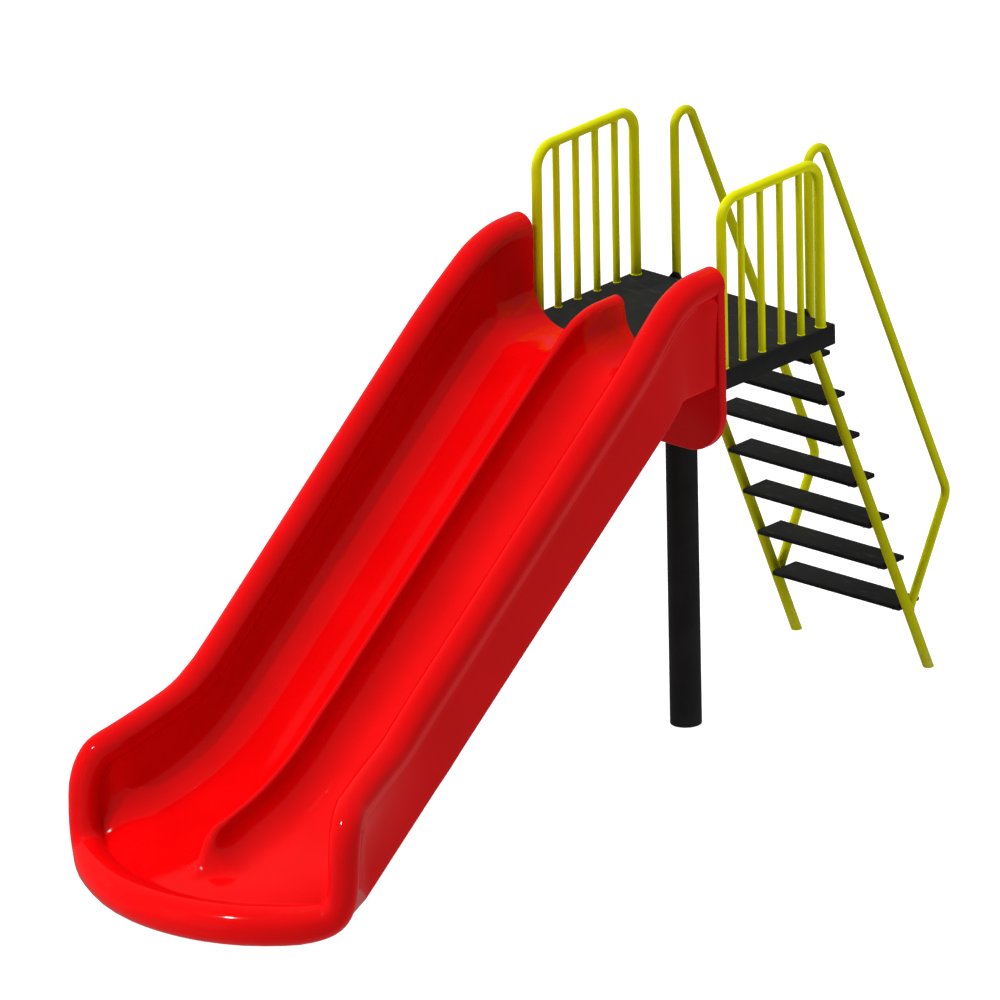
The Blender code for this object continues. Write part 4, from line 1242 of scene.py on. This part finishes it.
# %% [markdown]
# ## Bolts
# A hexagon head stands on a round washer. Both are short lofts, and every bolt goes into one mesh,
# because the bolts share one finish and are never moved alone.

# %% Bolts
# heights and radii of a washer and of a hexagon head, as shares of the bolt's size
WASHER = ((0.0, 1.35), (0.20, 1.35), (0.26, 1.22))
HEXAGON = ((0.26, 1.02), (0.98, 1.02), (1.12, 0.82))


def bolt(shape, place, out, size):
    """A bolt head on its washer, standing out of a face."""
    side = out.orthogonal().normalized()
    other = out.cross(side)
    for profile, sides in ((WASHER, 24), (HEXAGON, 6)):
        shape.loft([circle(place + out * size * high, side, other, size * wide, sides)
                    for high, wide in profile])


fixings = Shape()
print("a head stands", HEXAGON[-1][0], "of the bolt's size above its face")

# %% [markdown]
# ## The ladder
# Two sloping tubes carry seven treads. Each tread is a flat plate with round edges, dipped like the
# deck. A small cleat is welded to the stringer under each end, and two bolts with washers hold the
# tread to it. So a worn tread can be changed alone.

# %% The ladder
FALL = math.atan(STRINGER_SLOPE)
DOWN = Vector((0.0, math.cos(FALL), -math.sin(FALL)))
CLEAT_THICK = 0.0050
CLEAT_INNER_X = LADDER_X - STRINGER_RADIUS - 0.046
CLEAT_OUTER_X = LADDER_X - STRINGER_RADIUS + 0.003
# height and inset of each line round a stringer, which is cut level at both ends
STRINGER_LINES = ((0.0, 0.0030), (0.0, 0.0016), (0.0012, 0.0003), (0.0030, 0.0),
                  (STRINGER_TOP_Z - 0.0020, 0.0), (STRINGER_TOP_Z, 0.0012))
TREAD_ENDS = ((0.0, 0.0045), (0.0, 0.0035), (0.001, 0.0012), (0.0035, 0.0))


def stringer_y(z):
    """Where a stringer's middle line is at a height."""
    return -0.0142 + (DECK_TOP - z) / STRINGER_SLOPE


# the stringers take the ladder's yellow, which is darkened to paint in their shade
for side, sign in SIDES:
    # a level cut through a sloping tube is a little longer than it is wide
    rings = [circle(Vector((sign * LADDER_X, stringer_y(z), z)), X, Y / math.sin(FALL),
                    STRINGER_RADIUS - r, 44) for z, r in STRINGER_LINES]
    Shape().loft(rings).finish("stringer_skin_" + side, LADDER_YELLOW_PAINTED_SHADE, 50, ("stringer_" + side,))
for k in range(TREADS):
    top = TREAD_TOP_Z - TREAD_RISE * k
    rear = TREAD_REAR_Y + TREAD_GOING * k
    tread = bar(TREAD_ENDS, TREAD_HALF, rear - TREAD_DEPTH, top - TREAD_THICK, rear, top, 0.006, 6)
    tread.finish("tread_skin_%d" % (k + 1), TREADED, 50, ("tread_%d" % (k + 1),))
cleats = Shape()
ladder_welds = Shape()
for k in range(TREADS):
    low = TREAD_TOP_Z - TREAD_RISE * k - TREAD_THICK
    y = stringer_y(low)
    for sign in (-1, 1):
        x0, x1 = sorted((sign * CLEAT_INNER_X, sign * CLEAT_OUTER_X))
        slab(cleats, x0, y - 0.030, x1, y + 0.010, low - CLEAT_THICK, low - 0.0004, 0.005, 0.0008)
        for back in (0.019, 0.001):
            bolt(fixings, Vector((sign * (CLEAT_INNER_X + 0.014), y - back, low - CLEAT_THICK)), -Z, 0.0050)
cleats.finish("tread_cleats", PAINTED, 40)

# %% [markdown]
# ## The handrails
# Each handrail starts at the bracket on the deck's rear edge, rises, turns over in one tight loop,
# and falls beside the ladder. Near the ground it bends back and is welded to the stringer. The
# lower end is cut to the stringer's round side, so the joint is a saddle.

# %% The handrails
RAIL_BEND = 0.07
RAIL_BEAD = 0.0028
SEAM_BEAD = 0.0026
SEAM_LOW_Z = 1.412
SEAM_POINTS = 130


def rail_path(sign):
    """The handrail's line: up the leg, over the loop, down to the elbow and in to the stringer."""
    centre = Vector((RAIL_LEG_Y + LOOP_RADIUS, LOOP_Z))
    span = Vector(RAIL_ELBOW) - centre
    last = math.atan2(span.y, span.x) + math.acos(LOOP_RADIUS / span.length)
    path = [Vector((RAIL_LEG_Y, STRINGER_TOP_Z + GAP))]
    for k in range(37):
        angle = between(math.pi, last, k / 36)
        path.append(centre + Vector((math.cos(angle), math.sin(angle))) * LOOP_RADIUS)
    path += rounded_path([path[-1], RAIL_ELBOW, RAIL_FOOT], RAIL_BEND)[1:]
    spots = []
    for p in path:
        share = smooth_step(LOOP_Z - p.y, -0.05, 1.45) if p.x > centre.x else 0.0
        spots.append(Vector((sign * between(RAIL_X, RAIL_LOW_X, share), p.x, p.y)))
    return spots


# the handrails take a yellow that is darkened to paint in their shade
for side, sign in SIDES:
    spots = rail_path(sign)
    way = (spots[-1] - spots[-2]).normalized()
    on_stringer = Vector((sign * LADDER_X, stringer_y(0.3), 0.3))
    loop, outward = saddle(spots[-2], way, RAIL_RADIUS, on_stringer, DOWN, STRINGER_RADIUS)
    ladder_welds.weld(loop, outward, RAIL_BEAD)
    middle = sum(loop, Vector()) / len(loop)
    spots[-1] = spots[-2] + way * ((middle - spots[-2]).dot(way) + 0.004)
    rail = tube(spots, RAIL_RADIUS * WITHIN, 40, 0.0008)
    rail.finish("handrail_skin_" + side, RAIL_YELLOW_PAINTED_SHADE, 50, ("handrail_" + side,))
    for turn in (-1, 1):
        foot = Vector((spots[0].x + turn * RAIL_RADIUS * 0.62, RAIL_LEG_Y - RAIL_RADIUS * 0.86, SEAM_LOW_Z))
        rows = []
        for n in range(SEAM_POINTS):
            swell = SEAM_BEAD * (1 + WELD_RIPPLE * math.sin(n * 1.55))
            if n in (0, SEAM_POINTS - 1):
                swell *= 0.35
            rows.append(circle(foot + Z * (0.0008 * n), X, Y, swell, 8))
        ladder_welds.loft(rows)
# the ladder's welds take its yellow, which is darkened to paint in their shade
ladder_welds.finish("ladder_welds", LADDER_YELLOW_PAINTED_SHADE, 60)

# %% [markdown]
# ## Brackets, shoe and fixings
# A plate on each side bolts to the deck's rear lip and carries the ladder. A low steel shoe holds
# the run-out off the ground. The last fixings sit below the deck: they clamp the top plate to the
# bearers, the bearers to the side lips, and the chute to the front lip.

# %% Brackets, shoe and fixings
BRACKET_X = RAIL_X - 0.012
SHOE = [(-3.020, 0.0), (-2.920, 0.0), (-2.920, 0.0839), (-3.020, 0.0614)]
SHOE_HALF = 0.200
PLATE_BOLT = 0.0085
CHUTE_BOLT = 0.0075
SIDE_BOLT = 0.0065
for side, sign in SIDES:
    outline = [(BRACKET_X - 0.028, 1.380), (BRACKET_X + 0.028, 1.380), (BRACKET_X + 0.028, 1.522),
               (BRACKET_X + 0.010, 1.543), (BRACKET_X - 0.014, 1.543), (BRACKET_X - 0.028, 1.528)]
    bracket = cut_plate([(sign * x, z) for x, z in outline], "y", GAP, RAIL_LEG_Y - RAIL_RADIUS - GAP, 0.0012)
    bracket.finish("ladder_bracket_skin_" + side, PAINTED, 40, ("ladder_bracket_" + side,))
    for z in (1.462, 1.502):
        bolt(fixings, Vector((sign * (BRACKET_X - 0.002), -SHEET, z)), -Y, SIDE_BOLT)
shoe = cut_plate(SHOE, "x", -SHOE_HALF, SHOE_HALF, 0.0025)
shoe.finish("exit_shoe_skin", PAINTED, 40, ("exit_foot",))
for sign in (-1, 1):
    for y in (POST_Y - BEARER_SPREAD, POST_Y + BEARER_SPREAD):
        bolt(fixings, Vector((sign * 0.095, y, PLATE_TOP - PLATE_THICK)), -Z, PLATE_BOLT)
    for y in (-0.150, -0.560):
        bolt(fixings, Vector((sign * (DECK_HALF - SHEET), y, 1.487)), -X * sign, SIDE_BOLT)
for n in range(5):
    bolt(fixings, Vector((-0.36 + 0.18 * n, -DECK_DEPTH + SHEET, 1.484)), Y, CHUTE_BOLT)
fixings.finish("fixings", ZINC, 35)

# %% [markdown]
# ## The floor
# The photograph shows the slide alone on a white page that catches no shadow. So the floor is pale
# and glows a little to stay white, and it sends no light back to the slide.

# %% The floor
FAR = 40
GROUND = -0.0005
floor_finish = bpy.data.materials.new("studio_floor")
floor_finish.use_nodes = True
for key, value in (("Base Color", (0.45, 0.45, 0.45, 1.0)), ("Emission Color", (1.0, 1.0, 1.0, 1.0)),
                   ("Emission Strength", 0.50), ("Roughness", 0.9), ("Specular IOR Level", 0.0)):
    floor_finish.node_tree.nodes["Principled BSDF"].inputs[key].default_value = value
floor_mesh = bpy.data.meshes.new("floor")
floor_mesh.from_pydata([(-FAR, -FAR, GROUND), (FAR, -FAR, GROUND), (FAR, FAR, GROUND), (-FAR, FAR, GROUND)],
                       [], [(0, 1, 2, 3)])
floor_mesh.materials.append(floor_finish)
floor = bpy.data.objects.new("floor", floor_mesh)
bpy.context.scene.collection.objects.link(floor)
floor.visible_glossy = False
floor.visible_diffuse = False
floor.visible_shadow = False
print("floor:", 2 * FAR, "m wide")

# %% [markdown]
# ## The lamps
# In the photograph the rims are bright all round and the inner walls are dark, so the main lamp is a
# high one that casts no shadow. Weaker lamps light the left, the front, the right side and the
# underside, and a broad panel near the ground lights the lip. Only the small glint lamp shows in the
# gloss, because the photograph has a few thin white streaks on the rims and none in the lanes.

# %% The lamps
def hang(name, data, way):
    """Put a lamp in the scene; way is the direction that its light comes from."""
    made = bpy.data.objects.new(name, data)
    made.visible_glossy = False
    made.rotation_euler = Vector(way).to_track_quat("Z", "Y").to_euler()
    bpy.context.scene.collection.objects.link(made)
    return made


def lamp(name, way, strength, spread, shadow=True):
    """A far lamp, with its strength and how wide it looks in degrees."""
    data = bpy.data.lights.new(name, "SUN")
    data.energy = strength
    data.angle = math.radians(spread)
    data.use_shadow = shadow
    return hang(name, data, way)


lamp("high_lamp", (-0.26, 0.02, 0.96), 3.1, 12.0, False)
lamp("dome_lamp", (0.10, -0.10, 0.99), 0.9, 120.0)
lamp("left_lamp", (-0.92, -0.12, 0.35), 1.7, 12.0, False)
lamp("front_lamp", (-0.50, -0.75, 0.42), 0.6, 16.0)
lamp("low_lamp", (-0.45, -0.65, -0.60), 0.9, 30.0)
lamp("under_lamp", (0.10, 0.38, -0.92), 2.0, 30.0)
lamp("side_lamp", (0.98, 0.10, -0.10), 1.75, 16.0)
lamp("glint_lamp", (-0.15, -0.64, 0.75), 1.2, 1.1).visible_glossy = True

# one broad panel stands on the floor before the exit, near enough to light the lip alone
panel_data = bpy.data.lights.new("exit_panel", "AREA")
panel_data.energy = 26.0
panel_data.size = 1.2
hang("exit_panel", panel_data, (-0.30, -1.0, -0.08)).location = (-0.30, -4.70 + REAR, 0.15)

world = bpy.data.worlds.new("sky")
world.use_nodes = True
world.node_tree.nodes["Background"].inputs["Color"].default_value = (1.0, 1.0, 1.0, 1.0)
world.node_tree.nodes["Background"].inputs["Strength"].default_value = 0.20
bpy.context.scene.world = world
print("lamps:", len(bpy.data.lights))

# %% [markdown]
# ## The camera
# The photograph is a parallel projection: lines that run side by side on the slide stay so in the
# picture. So the camera is orthographic, and its three angles were fitted to the tower's straight
# edges. Its distance changes nothing in the picture.

# %% The camera
CAMERA_AIM = Vector((0.0, -1.3130 + REAR, 1.1360))
CAMERA_FAR = 8.0
CAMERA_ROUND = math.radians(40.9483)
CAMERA_TILT = math.radians(69.4303)
CAMERA_ROLL = math.radians(-0.9633)
camera_data = bpy.data.cameras.new("camera")
camera_data.type = "ORTHO"
camera_data.ortho_scale = 3.5523510
camera_data.clip_end = 200.0
camera = bpy.data.objects.new("camera", camera_data)
turn = (Matrix.Rotation(CAMERA_ROUND, 3, "Z") @ Matrix.Rotation(CAMERA_TILT, 3, "X")
        @ Matrix.Rotation(CAMERA_ROLL, 3, "Z"))
camera.matrix_world = Matrix.Translation(CAMERA_AIM + turn.col[2] * CAMERA_FAR) @ turn.to_4x4()
bpy.context.scene.collection.objects.link(camera)
bpy.context.scene.camera = camera
bpy.context.scene.view_settings.view_transform = "Standard"
print("camera looks from", [round(v, 2) for v in camera.location])
